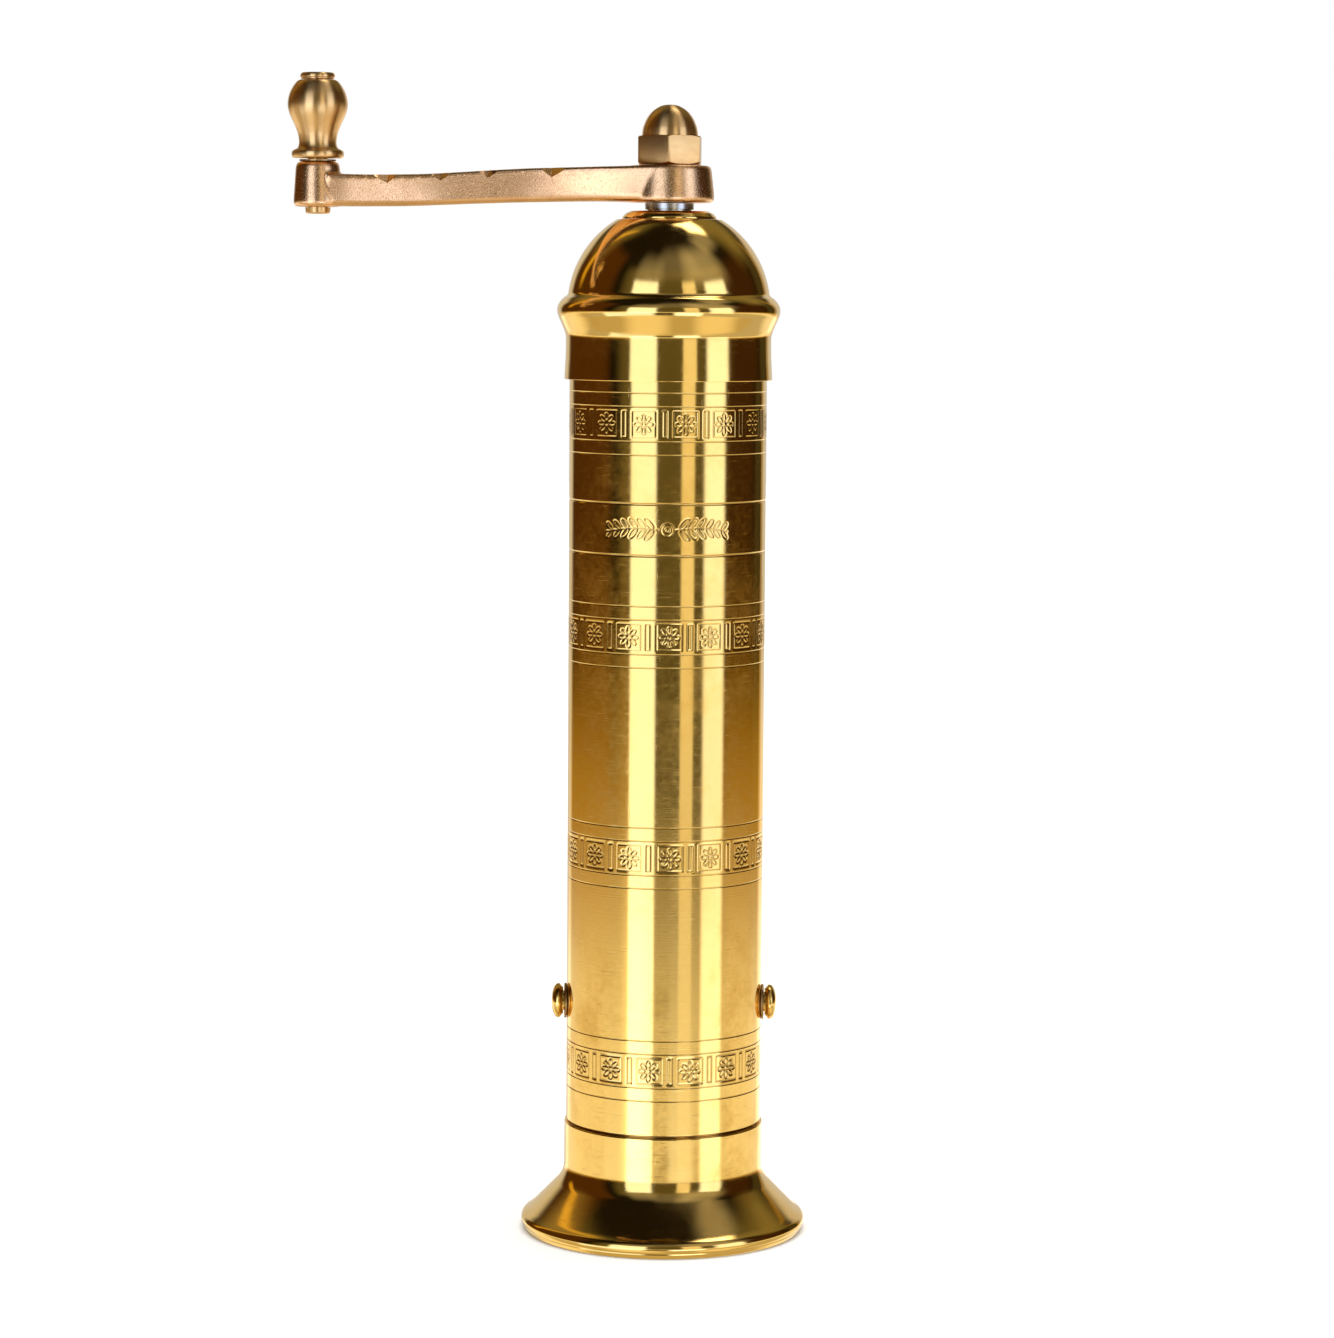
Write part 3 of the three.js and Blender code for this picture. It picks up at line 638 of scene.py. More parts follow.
def build_barrel():
    """The tube: engraved outside, plain bore, and the spigot that the foot holds, darkened as
    painted shade in the gap.
    """
    rows = barrel_rows()
    rows += [(TUBE_TOP, TUBE_R - 0.3, None), (TUBE_TOP, TUBE_INNER_R + 0.2, None)]
    rows += [(TUBE_TOP - 0.2, TUBE_INNER_R, None)]
    for z in np.linspace(TUBE_TOP - 8, TUBE_BOTTOM + 8, 12):
        rows.append((z, TUBE_INNER_R, None))
    rows += [(TUBE_BOTTOM, TUBE_INNER_R, None), (TUBE_BOTTOM, SPIGOT_R - 0.3, None)]
    rows += [(TUBE_BOTTOM + 0.3, SPIGOT_R, None), (FOOT_TOP - 0.5, SPIGOT_R, None)]
    rows += [(SHOULDER_Z, SPIGOT_R, None)]
    verts, depths, rings = [], [], []
    for z, radius, style in rows:
        columns = columns_of(style)
        angles = FULL * np.array(columns) / FINE
        around = ((angles + FULL / 4 + math.pi) % FULL - math.pi) * TUBE_R
        # Painted shade: cut rings, the shoulder gap and the spigot darken by how deep they lie
        # below the tube's face; engraved strokes darken by their depth, as dirt and painted shade
        if style is None:
            cut = np.zeros(len(columns))
            groove_dirt_and_shade = np.full(len(columns), np.clip((TUBE_R - radius) / 0.25, 0, 1))
            if radius < SPIGOT_R:
                groove_dirt_and_shade[:] = 0
        elif style == "sprig":
            cut = sprig(around, z - SPRIG_Z)
            groove_dirt_and_shade = cut
        else:
            cut = rosette_band(around, z - BAND_Z[style], BAND_PHASE[style])
            groove_dirt_and_shade = cut
        radii = radius - cut * STROKE_DEPTH
        rings.append({c: len(verts) + i for i, c in enumerate(columns)})
        verts += list(zip(radii * np.cos(angles), radii * np.sin(angles), [z] * len(columns)))
        depths += list(groove_dirt_and_shade)
    faces = []
    for low, high in zip(rings, rings[1:] + rings[:1]):
        for c in range(0, FINE, FINE_PER_COARSE):
            cell = [(c + i) % FINE for i in range(FINE_PER_COARSE + 1)]
            if all(k in low and k in high for k in cell):
                for a, b in zip(cell, cell[1:]):
                    faces.append((low[a], low[b], high[b], high[a]))
                continue
            under = [low[k] for k in cell if k in low]
            over = [high[k] for k in cell if k in high]
            faces.append(tuple(under + over[::-1]))
    mesh = bpy.data.meshes.new("barrel_engraved")
    mesh.from_pydata([tuple(c * MM for c in v) for v in verts], [], faces)
    layer = mesh.attributes.new("engraved", "FLOAT", "POINT")
    layer.data.foreach_set("value", np.array(depths, np.float32))
    mesh.shade_smooth()
    mesh.set_sharp_from_angle(angle=math.radians(50))
    obj = bpy.data.objects.new("barrel_engraved", mesh)
    bpy.context.scene.collection.objects.link(obj)
    obj.location.x = SPINDLE_X * MM
    dress(obj, "body", ["barrel_tube"], BRASS)


build_barrel()


# ---------- Side screws and saddle washers ----------

SCREW_Z = (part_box("side_screw_left")[0].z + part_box("side_screw_left")[1].z) / 2 / MM
SCREW_TIP = 12.6
SHANK_R = 1.95
HEAD_SEAT = 20.05
SADDLE_INNER_R = 2.15
SADDLE_R = 3.5
screw_outline = [
    (0.0, SCREW_TIP),
    *softened(
        [(0.0, SCREW_TIP), (SHANK_R, SCREW_TIP, 0.4), (SHANK_R, HEAD_SEAT), (2.7, HEAD_SEAT, 0.1)]
    )[1:],
    *spline([(2.7, 20.25), (3.05, 20.5), (3.4, 20.8), (3.45, 21.05), (3.3, 21.5)], 4),
    *spline([(3.0, 21.8), (2.2, 22.15), (1.2, 22.35), (0.0, 22.4)], 4),
]


def sideways(verts, side):
    """Turns a body drawn about Z so that it lies along X, towards that side, at the screws."""
    return [(side * z, y, SCREW_Z - side * x) for x, y, z in verts]


def saddle_washer(inner, outer, low, high, segments=64):
    """A thin washer bent to the tube, from low to high above its wall."""
    verts, faces = [], []
    profile = [(inner, low), (outer - 0.1, low), (outer, low + 0.1), (outer, high - 0.15)]
    profile += [(outer - 0.15, high), (inner + 0.1, high), (inner, high - 0.1)]
    count = len(profile)
    for k in range(segments):
        a = FULL * k / segments
        for r, height in profile:
            angle = r * math.cos(a) / TUBE_R
            reach = TUBE_R + height
            verts.append((reach * math.cos(angle), reach * math.sin(angle), r * math.sin(a)))
    for k in range(segments):
        for i in range(count):
            j = (i + 1) % count
            n = (k + 1) % segments
            faces.append((k * count + i, n * count + i, n * count + j, k * count + j))
    return verts, faces


for side, word in ((1, "right"), (-1, "left")):
    verts, faces = turned_faces(screw_outline, 72)
    new_piece(
        f"screw_{word}",
        sideways(verts, side),
        faces,
        "body",
        [f"side_screw_{word}"],
        BRASS,
    )
    verts, faces = saddle_washer(SADDLE_INNER_R, SADDLE_R, 0.08, 0.5)
    placed = [(side * x, side * y, z + SCREW_Z) for x, y, z in verts]
    new_piece(
        f"saddle_{word}",
        placed,
        faces,
        "body",
        [f"saddle_washer_{word}"],
        BRONZE,
    )


# ---------- Cap ----------

DOME_R = 19.9
DOME_Z = 183.55
DOME_WALL = 1.0
DOME_HOLE_R = 6.1
DOME_FLAT = cap_high.z / MM
SKIRT_BOTTOM = cap_low.z / MM
SEAT_Z = TUBE_TOP + 0.3


def dome_angle(radius, z):
    """Where round the dome's arc a height is, in degrees."""
    return math.degrees(math.asin((z - DOME_Z) / radius))


cap_outline = [
    *softened([(19.65, SKIRT_BOTTOM), (20.42, SKIRT_BOTTOM, 0.15), (20.3, SKIRT_BOTTOM + 2.5)], 3),
    *spline(
        [
            (20.2, 173.5),
            (20.15, 177.3),
            (20.33, 178.5),
            (20.8, 179.75),
            (21.3, 180.9),
            (21.72, 181.9),
            (21.9, 183.0),
            (21.6, 184.1),
            (20.8, 185.15),
            (20.0, 185.75),
            (19.72, 186.2),
            (19.66, 186.7),
        ],
        5,
    ),
    *arc(0, DOME_Z, DOME_R, 11, dome_angle(DOME_R, DOME_FLAT), 40),
    (DOME_HOLE_R, DOME_FLAT),
    (DOME_HOLE_R, DOME_FLAT - DOME_WALL),
    *arc(
        0,
        DOME_Z,
        DOME_R - DOME_WALL,
        dome_angle(DOME_R - DOME_WALL, DOME_FLAT - DOME_WALL),
        dome_angle(DOME_R - DOME_WALL, SEAT_Z),
        24,
    ),
    (19.65, SEAT_Z),
]
turned("cap_spun", cap_outline, "cap", ["dome_cap"], BRASS, segments=224)

bush_low, bush_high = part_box("cap_bush")
BUSH_BOTTOM = bush_low.z / MM
BUSH_TOP = bush_high.z / MM
BUSH_R = 6.0
collar_outline = softened(
    [
        (4.7, BUSH_BOTTOM),
        (5.6, BUSH_BOTTOM),
        (BUSH_R, BUSH_BOTTOM + 0.4),
        (BUSH_R, DOME_FLAT + 0.1),
        (9.25, DOME_FLAT + 0.1, 0.1),
        (9.2, DOME_FLAT + 0.5, 0.25),
        (8.5, BUSH_TOP - 0.4, 0.25),
        (8.1, BUSH_TOP - 0.28, 0.2),
        (7.6, BUSH_TOP, 0.25),
        (4.9, BUSH_TOP, 0.1),
        (4.7, BUSH_TOP - 0.2),
    ]
)
turned("cap_collar", collar_outline, "cap", ["cap_bush"], BRASS)


# ---------- Drive sleeve ----------

sleeve_low, sleeve_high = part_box("drive_sleeve")
SLEEVE_BOTTOM = sleeve_low.z / MM
SLEEVE_TOP = sleeve_high.z / MM
ARM_SEAT = arm_low.z / MM
COLLAR_BOTTOM = BUSH_TOP + 0.3
COLLAR_TOP = 203.8
SLEEVE_R = 4.35
COLLAR_R = 4.79
STUD_R = 3.0
CLIP_R = 3.95
CLIP_GROOVE = (187.2, 188.4)
sleeve_outline = softened(
    [
        (0.0, SLEEVE_BOTTOM),
        (SLEEVE_R, SLEEVE_BOTTOM, 0.3),
        (SLEEVE_R, CLIP_GROOVE[0]),
        (CLIP_R, CLIP_GROOVE[0]),
        (CLIP_R, CLIP_GROOVE[1]),
        (SLEEVE_R, CLIP_GROOVE[1]),
        (SLEEVE_R, COLLAR_BOTTOM),
        (COLLAR_R, COLLAR_BOTTOM, 0.12),
        (COLLAR_R, COLLAR_TOP, 0.12),
        (STUD_R, COLLAR_TOP),
        (STUD_R, SLEEVE_TOP, 0.5),
        (0.0, SLEEVE_TOP),
    ],
    3,
)
sleeve = turned(
    "sleeve_turned", sleeve_outline, "crank", ["drive_sleeve"], STEEL, segments=96
)
SOCKET_HALF = 2.45
SOCKET_TOP = 199.5
TANG_HALF = 3.1
TANG_TOP = 210.4
socket_low = (-SOCKET_HALF, -SOCKET_HALF, SLEEVE_BOTTOM - 5)
socket_tool = loose_object("tool", *box_verts(socket_low, (SOCKET_HALF, SOCKET_HALF, SOCKET_TOP)))
combine(sleeve, [socket_tool], "DIFFERENCE")
tang_low = (-TANG_HALF, -TANG_HALF, COLLAR_TOP - 0.5)
tang = loose_object("tool", *box_verts(tang_low, (TANG_HALF, TANG_HALF, TANG_TOP)))
combine(sleeve, [tang], "UNION")


# ---------- Crank arm ----------

# Stations along the arm: distance from the spindle, half width, bottom, top, and how much
# narrower each side is at the bottom
ARM_STATIONS = [
    (3.5, 7.5, 203.9, 210.9, 0.0),
    (5.5, 6.95, 203.95, 210.9, 0.0),
    (8.5, 6.1, 204.0, 210.85, 0.2),
    (13.0, 4.95, 204.05, 210.75, 0.45),
    (18.0, 3.95, 204.0, 210.6, 0.65),
    (24.0, 3.15, 203.85, 210.45, 0.85),
    (30.0, 2.75, 203.7, 210.2, 1.05),
    (39.0, 2.6, 203.35, 209.65, 1.1),
    (46.0, 2.65, 203.05, 209.2, 1.0),
    (52.0, 3.1, 202.85, 209.0, 0.8),
    (58.0, 3.8, 202.78, 208.9, 0.75),
    (63.0, 4.4, 202.75, 208.95, 0.75),
    (66.5, 4.5, 202.8, 209.05, 0.6),
]
STATION_STEP = 0.75
LOW_ROUND = 1.3
HIGH_ROUND = 0.5


def arm_station(distance):
    """Half width, bottom, top and lean of the arm at a distance, smoothly between stations."""
    known = np.array(ARM_STATIONS)
    steps = np.clip(np.searchsorted(known[:, 0], distance), 1, len(known) - 1)
    a, b = known[steps - 1], known[steps]
    before = known[max(steps - 2, 0)]
    after = known[min(steps + 1, len(known) - 1)]
    span = b[0] - a[0]
    t = (distance - a[0]) / span
    slope_a = (b[1:] - before[1:]) / max(b[0] - before[0], 1e-6) * span
    slope_b = (after[1:] - a[1:]) / max(after[0] - a[0], 1e-6) * span
    h = [2 * t**3 - 3 * t**2 + 1, t**3 - 2 * t**2 + t, 3 * t**2 - 2 * t**3, t**3 - t**2]
    return a[1:] * h[0] + slope_a * h[1] + b[1:] * h[2] + slope_b * h[3]


def rounded_section(half, bottom, top, lean):
    """An upright section with soft lower and crisper upper edges, as (y, z)."""
    low_half = half - lean
    corners = [
        (low_half - LOW_ROUND, bottom + LOW_ROUND, LOW_ROUND, -90, 0),
        (half - HIGH_ROUND, top - HIGH_ROUND, HIGH_ROUND, 0, 90),
        (-half + HIGH_ROUND, top - HIGH_ROUND, HIGH_ROUND, 90, 180),
        (-low_half + LOW_ROUND, bottom + LOW_ROUND, LOW_ROUND, 180, 270),
    ]
    points = []
    for y, z, radius, start, end in corners:
        points += arc(y, z, radius, start, end, 5)
    return points


def arm_blank():
    """The arm between its hub and its boss."""
    distances = np.arange(ARM_STATIONS[0][0], ARM_STATIONS[-1][0] + 0.01, STATION_STEP)
    verts, faces = [], []
    for distance in distances:
        verts += [(-distance, y, z) for y, z in rounded_section(*arm_station(distance))]
    count = len(verts) // len(distances)
    for s in range(len(distances) - 1):
        for i in range(count):
            j = (i + 1) % count
            faces.append((s * count + i, s * count + j, (s + 1) * count + j, (s + 1) * count + i))
    faces.append(tuple(range(count)))
    faces.append(tuple(range(len(verts) - 1, len(verts) - count - 1, -1)))
    return loose_object("arm_blank", verts, faces)


hub_outline = softened(
    [
        (0.0, ARM_SEAT + 1.3),
        (0.0, COLLAR_TOP + 0.1),
        (8.75, COLLAR_TOP + 0.1, 1.0),
        (8.72, 205.6, 1.0),
        (8.2, 210.2, 0.8),
        (8.0, ARM_TOP - 0.3, 0.9),
        (0.0, ARM_TOP - 0.3),
    ]
)[1:]
boss_outline = softened(
    [
        (0.0, ARM_SEAT),
        (4.85, ARM_SEAT, 1.1),
        (4.3, 210.6, 0.9),
        (3.9, ARM_TOP, 0.8),
        (0.0, ARM_TOP),
    ]
)
arm = arm_blank()
hub = loose_object("hub_blank", *turned_faces(hub_outline, 96))
boss_verts, boss_faces = turned_faces(boss_outline, 72)
boss = loose_object("boss_blank", [(x - CRANK_R, y, z) for x, y, z in boss_verts], boss_faces)
combine(arm, [hub, boss], "UNION")

# The casting's surface is made even, then its joins are eased
CAST_VOXEL = 0.28
CAST_SHARP = 34
remesh = arm.modifiers.new("even", "REMESH")
remesh.mode = "VOXEL"
remesh.voxel_size = CAST_VOXEL * MM
apply_modifiers(arm)
ease = arm.modifiers.new("ease", "SMOOTH")
ease.factor = 0.5
ease.iterations = 14
apply_modifiers(arm)


def hull(points):
    """A convex tool around the points."""
    mesh = bpy.data.meshes.new("tool")
    bm = bmesh.new()
    for p in points:
        bm.verts.new(tuple(c * MM for c in p))
    bmesh.ops.convex_hull(bm, input=bm.verts)
    loose = [v for v in bm.verts if not v.link_faces]
    bmesh.ops.delete(bm, geom=loose, context="VERTS")
    bm.to_mesh(mesh)
    bm.free()
    obj = bpy.data.objects.new("tool", mesh)
    bpy.context.scene.collection.objects.link(obj)
    obj.location.x = SPINDLE_X * MM
    return obj


# Notches in the upper edges: distance from the spindle, width along the edge, depth, and
# reach across the top. The cutting tool is the notch's own corner, drawn out past the edge.
NOTCHES = [
    (23.0, 5.6, 2.1, 2.3),
    (35.4, 4.4, 1.7, 1.7),
    (44.7, 4.4, 1.7, 1.7),
    (55.0, 5.4, 1.9, 2.0),
]
TOOL_STRETCH = 1.8
TOOL_LIFT = Vector((0, 0, 4))
for distance, width, depth, reach in NOTCHES:
    half, _, top, _ = arm_station(distance)
    for side in (1, -1):
        inner = Vector((-distance, side * (half - reach), top))
        left = Vector((-distance - width / 2, side * half, top))
        right = Vector((-distance + width / 2, side * half, top))
        deep = Vector((-distance, side * half, top - depth))
        points = [inner + (p - inner) * TOOL_STRETCH for p in (left, right, deep)]
        points += [points[0] + TOOL_LIFT, points[1] + TOOL_LIFT, inner - (deep - inner)]
        combine(arm, [hull(points)], "DIFFERENCE")

PIN_HOLE_R = 2.0
TANG_HOLE_HALF = 3.2
HOLE_LOW = 195
HOLE_HIGH = 220
hole_outline = [(0, HOLE_LOW), (PIN_HOLE_R, HOLE_LOW), (PIN_HOLE_R, HOLE_HIGH), (0, HOLE_HIGH)]
hole_verts, hole_faces = turned_faces(hole_outline, 48)
pin_hole = loose_object("tool", [(x - CRANK_R, y, z) for x, y, z in hole_verts], hole_faces)
hole_corners = [(h, h, z) for h, z in ((-TANG_HOLE_HALF, HOLE_LOW), (TANG_HOLE_HALF, HOLE_HIGH))]
tang_hole = loose_object("tool", *box_verts(*hole_corners))
combine(arm, [pin_hole, tang_hole], "DIFFERENCE")
arm.name = "crank_casting"
arm.data.shade_smooth()
arm.data.set_sharp_from_angle(angle=math.radians(CAST_SHARP))
dress(arm, "crank", ["crank_arm"], CAST)


# ---------- Acorn nut ----------

nut_low, nut_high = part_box("acorn_nut")
NUT_BOTTOM = nut_low.z / MM
NUT_TOP = nut_high.z / MM
NUT_FLATS = 12.0
NUT_TURN = math.radians(-3.3)
NUT_BORE_R = 3.1
NUT_BORE_TOP = 219.9
NUT_SHARP = 22
HEX_TOP = NUT_BOTTOM + 5.5


def hexagon(radius, bottom, top, turn):
    """Verts and faces of a six-sided bar."""
    verts = []
    for z in (bottom, top):
        for k in range(6):
            a = turn + FULL * (k + 0.5) / 6 + FULL / 12
            verts.append((radius * math.sin(a), -radius * math.cos(a), z))
    faces = [tuple(range(5, -1, -1)), tuple(range(6, 12))]
    faces += [(k, (k + 1) % 6, 6 + (k + 1) % 6, 6 + k) for k in range(6)]
    return verts, faces


nut = loose_object(
    "acorn_turned", *hexagon(NUT_FLATS / math.sqrt(3), NUT_BOTTOM, HEX_TOP, NUT_TURN)
)
chamfer_outline = [
    (0.0, NUT_BOTTOM - 1),
    (4.4, NUT_BOTTOM - 1),
    (6.1, NUT_BOTTOM),
    (6.98, NUT_BOTTOM + 0.5),
    (6.98, HEX_TOP - 0.35),
    (6.3, HEX_TOP),
    (4.4, HEX_TOP + 1),
    (0.0, HEX_TOP + 1),
]
combine(nut, [loose_object("tool", *turned_faces(chamfer_outline, 96))], "INTERSECT")
edge_break = nut.modifiers.new("edge", "BEVEL")
edge_break.width = 0.14 * MM
edge_break.segments = 2
edge_break.limit_method = "ANGLE"
edge_break.angle_limit = math.radians(25)
apply_modifiers(nut)
acorn_outline = [
    (0.0, NUT_BOTTOM + 3),
    (5.35, NUT_BOTTOM + 3),
    (5.45, HEX_TOP - 0.2),
    *spline(
        [
            (5.5, HEX_TOP + 0.15),
            (5.42, HEX_TOP + 0.9),
            (5.2, 218.7),
            (4.5, 220.3),
            (3.4, 221.65),
            (2.0, 222.55),
            (0.9, NUT_TOP - 0.05),
            (0.0, NUT_TOP),
        ],
        5,
    ),
]
combine(nut, [loose_object("tool", *turned_faces(acorn_outline, 96))], "UNION")
nut_bore = [(0, NUT_BOTTOM - 3), (NUT_BORE_R, NUT_BOTTOM - 3)]
nut_bore += [(NUT_BORE_R, NUT_BORE_TOP), (0, NUT_BORE_TOP)]
combine(nut, [loose_object("tool", *turned_faces(nut_bore, 64))], "DIFFERENCE")
nut.data.shade_smooth()
nut.data.set_sharp_from_angle(angle=math.radians(NUT_SHARP))
dress(nut, "crank", ["acorn_nut"], TURNED)


# ---------- Knob and its pin ----------

KNOB_BOTTOM = knob_low.z / MM
KNOB_TOP = knob_high.z / MM
KNOB_BORE_R = 2.25
knob_outline = [
    (KNOB_BORE_R, KNOB_BOTTOM),
    *spline(
        [
            (4.7, KNOB_BOTTOM),
            (5.0, KNOB_BOTTOM + 0.2),
            (5.12, KNOB_BOTTOM + 0.75),
            (5.0, KNOB_BOTTOM + 1.3),
            (4.55, KNOB_BOTTOM + 1.6),
            (4.0, KNOB_BOTTOM + 1.9),
            (3.72, 214.6),
            (3.66, 215.4),
            (3.85, 216.7),
            (4.35, 218.1),
            (5.0, 219.5),
            (5.55, 220.8),
            (5.84, 222.1),
            (5.8, 223.3),
            (5.42, 224.75),
            (4.75, 226.0),
            (4.1, 226.85),
            (3.55, KNOB_TOP),
        ],
        5,
    ),
    (KNOB_BORE_R, KNOB_TOP),
]
turned("knob_turned", knob_outline, "knob", ["knob"], TURNED, x=KNOB_X)

pin_low, pin_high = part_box("knob_pin")
PIN_BOTTOM = pin_low.z / MM
PIN_TOP = pin_high.z / MM
PIN_R = 1.9
PIN_HEAD_R = 3.4
pin_outline = softened(
    [
        (0.0, PIN_BOTTOM + 0.35),
        (1.5, PIN_BOTTOM + 0.35, 0.2),
        (1.7, PIN_BOTTOM, 0.15),
        (2.35, PIN_BOTTOM, 0.3),
        (2.5, PIN_BOTTOM + 1.2),
        (PIN_R, PIN_BOTTOM + 1.2),
        (PIN_R, KNOB_TOP + 0.2),
        (3.2, KNOB_TOP + 0.2),
        (3.2, KNOB_TOP + 0.42, 0.08),
        (3.38, KNOB_TOP + 0.5, 0.1),
        (PIN_HEAD_R, PIN_TOP - 0.5, 0.25),
        (3.1, PIN_TOP - 0.08, 0.5),
        (0.0, PIN_TOP),
    ],
    4,
)
turned(
    "knob_rivet", pin_outline, "crank", ["knob_pin"], TURNED, x=KNOB_X, segments=96
)


# ---------- Floor, light and camera ----------

FLOOR_HALF = 3.0
FLOOR_GREY = 0.86
SUN_STRENGTH = 3.9
SUN_SPREAD = 75
floor_mesh = bpy.data.meshes.new("floor")
corner_signs = [(-1, -1), (1, -1), (1, 1), (-1, 1)]
corners = [(x * FLOOR_HALF, y * FLOOR_HALF, 0) for x, y in corner_signs]
floor_mesh.from_pydata(corners, [], [(0, 1, 2, 3)])
floor = bpy.data.objects.new("floor", floor_mesh)
bpy.context.scene.collection.objects.link(floor)
floor_material = bpy.data.materials.new("floor_pale")
floor_material.use_nodes = True
floor_nodes = Nodes(floor_material.node_tree)
floor_shader = floor_nodes.add("ShaderNodeBsdfDiffuse", {"Color": rgba(*[FLOOR_GREY] * 3)})
floor_nodes.add("ShaderNodeOutputMaterial", {"Surface": floor_shader.outputs[0]})
floor_mesh.materials.append(floor_material)
floor.visible_glossy = False

sun_data = bpy.data.lights.new("floor_light", "SUN")
sun_data.energy = SUN_STRENGTH
sun_data.angle = math.radians(SUN_SPREAD)
sun = bpy.data.objects.new("floor_light", sun_data)
sun.visible_glossy = False
bpy.context.scene.collection.objects.link(sun)


# The eye sees a white room. The brass sees soft panels round a dark studio. Azimuths are in
# degrees from the camera's side, to the right; levels are in degrees above the horizon.

world = bpy.data.worlds.new("studio")
bpy.context.scene.world = world
world.use_nodes = True
w = Nodes(world.node_tree)
direction = w.add("ShaderNodeTexCoord").outputs["Generated"]
ray = w.add("ShaderNodeSeparateXYZ", {0: direction}).outputs
ray_squares = [w.math("MULTIPLY", ray[axis], ray[axis]) for axis in "XY"]
ray_flat = w.math("SQRT", w.math("ADD", *ray_squares))
ray_level = w.math("ARCTAN2", ray["Z"], ray_flat)


def band(low, high, fade):
    """How far a ray's level is inside low to high."""
    rise = w.ramp(ray_level, math.radians(low - fade), math.radians(low + fade))
    fall = w.ramp(ray_level, math.radians(high - fade), math.radians(high + fade), 1.0, 0.0)
    return w.math("MULTIPLY", rise, fall)


def panel(azimuth, half, soft, low, high, fade, strength, colour):
    """A light panel's colour to add: half its width and the softness of its sides, its lowest
    and highest levels and their softness, all in degrees."""
    turn = math.radians(azimuth)
    sideways_part = w.math("MULTIPLY", ray["X"], math.sin(turn))
    forward_part = w.math("MULTIPLY", ray["Y"], math.cos(turn))
    facing = w.math("DIVIDE", w.math("SUBTRACT", sideways_part, forward_part), ray_flat)
    outer = math.cos(math.radians(min(half + soft, 180.0))) - 1e-4
    inner = math.cos(math.radians(max(half - soft, 0.0)))
    across = w.ramp(facing, outer, inner)
    amount = w.math("MULTIPLY", w.math("MULTIPLY", across, band(low, high, fade)), strength)
    return w.add("ShaderNodeVectorMath", {0: colour, "Scale": amount}, operation="SCALE").outputs[0]


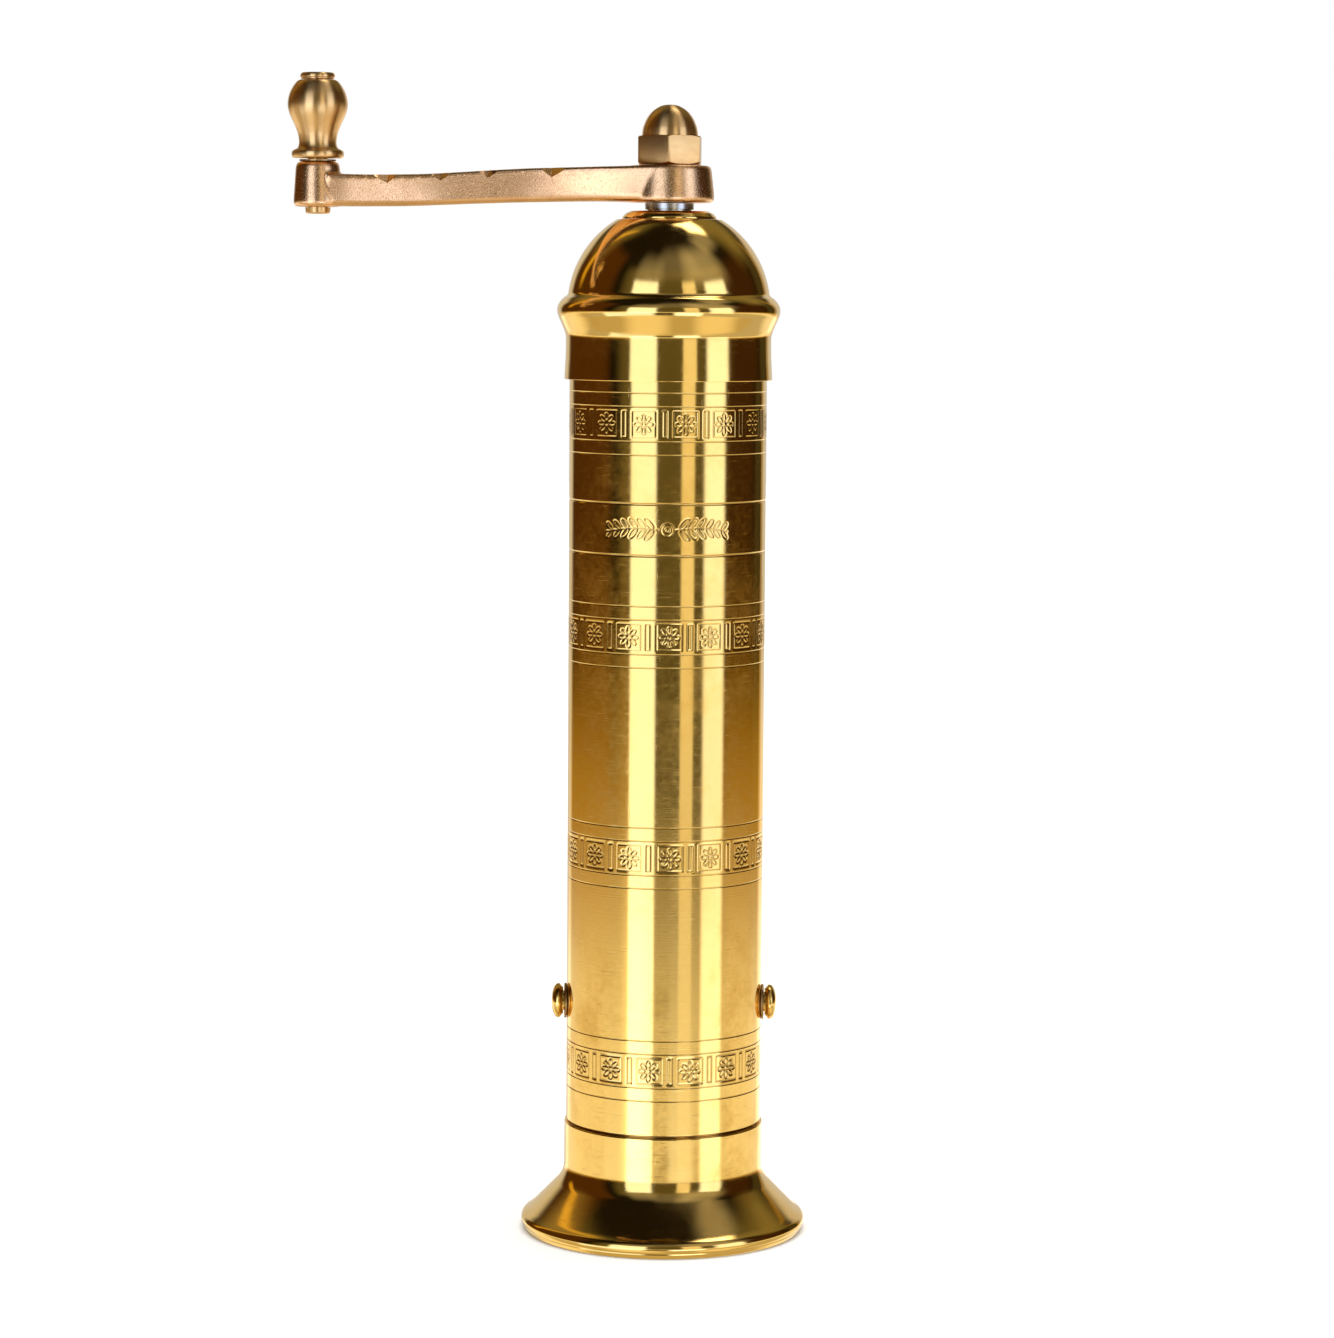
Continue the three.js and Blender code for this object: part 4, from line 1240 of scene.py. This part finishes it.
COOL = (1.12, 1.32, 1.75)
FAINT_BLUE = (1.0, 1.05, 1.35)
WARM = (1.0, 0.93, 0.76)
PALE = (1.0, 0.95, 0.85)
HONEY = (1.0, 0.84, 0.50)
OLIVE = (1.0, 0.85, 0.34)
BROWN = (1.0, 0.33, 0.0)
GOLD = (1.0, 0.60, 0.04)
PANELS = [
    # Two tall panels and a narrow warm one between them, fading upwards
    panel(-28, 15, 2, -16, 28, 3, 1.12, COOL),
    panel(24, 7.5, 1.5, -9, 28, 4, 0.92, WARM),
    panel(57, 13, 3, -6, 26, 3, 1.12, COOL),
    panel(57, 13, 3, -16, -6, 3, 1.05, FAINT_BLUE),
    panel(-26, 12, 12, 28, 54, 12, 0.22, PALE),
    panel(14, 22, 16, 36, 66, 12, 0.16, PALE),
    panel(92, 16, 12, 54, 72, 6, 0.30, PALE),
    panel(50, 20, 18, 26, 64, 12, 0.34, PALE),
    # The dim room: olive ahead, brown to the left, a gold strip beyond it
    panel(8, 64, 8, -8, 40, 6, 0.105, OLIVE),
    panel(-107, 36, 8, -8, 50, 6, 0.065, BROWN),
    panel(95, 24, 10, -8, 40, 8, 0.035, BROWN),
    panel(132, 6, 5, -8, 40, 8, 0.05, OLIVE),
    panel(-127, 3, 2, 12, 62, 5, 0.6, GOLD),
    panel(143, 1.5, 1, -8, 30, 5, 0.3, GOLD),
    # Behind: a pale backdrop, a dull gold glow above it and one bright lamp
    panel(180, 33, 6, -14, 22, 4, 0.66, PALE),
    panel(180, 60, 20, 30, 66, 10, 0.22, OLIVE),
    panel(146, 24, 10, 60, 73, 3, 4.0, PALE),
    # The floor: deep gold at the far edge, paler close in, dimmer straight ahead
    panel(-90, 62, 12, -9.2, -6.2, 1.2, 0.38, GOLD),
    panel(126, 56, 12, -9.2, -6.2, 1.2, 0.38, GOLD),
    panel(-90, 68, 12, -15, -9.4, 1.6, 1.08, WARM),
    panel(126, 56, 12, -15, -9.4, 1.6, 1.08, WARM),
    panel(12, 56, 12, -15, -9.8, 3.0, 1.08, WARM),
    # The floor close in: golden below the mill, paler further out, and cool where the arm's
    # sides look down at it, with a dark gap between for the middle of the arm
    panel(180, 180, 0, -100, -30, 2, 0.60, HONEY),
    panel(162, 128, 5, -30, -15, 2, 0.58, WARM),
    panel(21, 14, 4, -30, -15, 2, 1.7, COOL),
    panel(-6, 10, 4, -30, -15, 2, 0.08, OLIVE),
    panel(-44, 28, 4, -30, -15, 2, 1.1, COOL),
    # The floor is brighter where the panels and lamps stand
    panel(-28, 20, 16, -60, -30, 3, 0.42, PALE),
    panel(60, 18, 16, -60, -30, 3, 0.42, PALE),
    panel(150, 16, 12, -60, -15, 3, 0.55, PALE),
    panel(-130, 16, 12, -60, -15, 3, 0.55, PALE),
]
ROOM_GLOW = (0.012, 0.009, 0.005)
total = ROOM_GLOW
for light in PANELS:
    total = w.add("ShaderNodeVectorMath", {0: total, 1: light}, operation="ADD").outputs[0]
reflected = w.add("ShaderNodeBackground", {"Color": total, "Strength": 1.0})
seen = w.add("ShaderNodeBackground", {"Color": rgba(1.0, 1.0, 1.0), "Strength": 1.0})
is_camera = w.add("ShaderNodeLightPath").outputs["Is Camera Ray"]
surface = w.add("ShaderNodeMixShader", {0: is_camera, 1: reflected.outputs[0], 2: seen.outputs[0]})
w.add("ShaderNodeOutputWorld", {"Surface": surface.outputs[0]})

# The camera's place in mm, its turns in radians, and its lens in mm
CAMERA_AWAY = 767.44
CAMERA_Z = 187.3
CAMERA_PITCH = 0.0975
CAMERA_YAW = 0.0002
CAMERA_ROLL = 0.0071
CAMERA_LENS = 104.82
SENSOR_WIDTH = 36.0
forward = Vector(
    (
        math.sin(CAMERA_YAW) * math.cos(CAMERA_PITCH),
        math.cos(CAMERA_YAW) * math.cos(CAMERA_PITCH),
        -math.sin(CAMERA_PITCH),
    )
)
level_right = Vector((math.cos(CAMERA_YAW), -math.sin(CAMERA_YAW), 0))
level_up = level_right.cross(forward)
camera_right = level_right * math.cos(CAMERA_ROLL) + level_up * math.sin(CAMERA_ROLL)
camera_up = level_up * math.cos(CAMERA_ROLL) - level_right * math.sin(CAMERA_ROLL)
turn = Matrix((camera_right, camera_up, -forward)).transposed().to_4x4()
camera_data = bpy.data.cameras.new("camera")
camera_data.lens = CAMERA_LENS
camera_data.sensor_width = SENSOR_WIDTH
camera_data.clip_start = 0.01
camera = bpy.data.objects.new("camera", camera_data)
place = Matrix.Translation((SPINDLE_X * MM, -CAMERA_AWAY * MM, CAMERA_Z * MM))
camera.matrix_world = place @ turn
bpy.context.scene.collection.objects.link(camera)
bpy.context.scene.camera = camera
bpy.context.scene.view_settings.view_transform = "Standard"
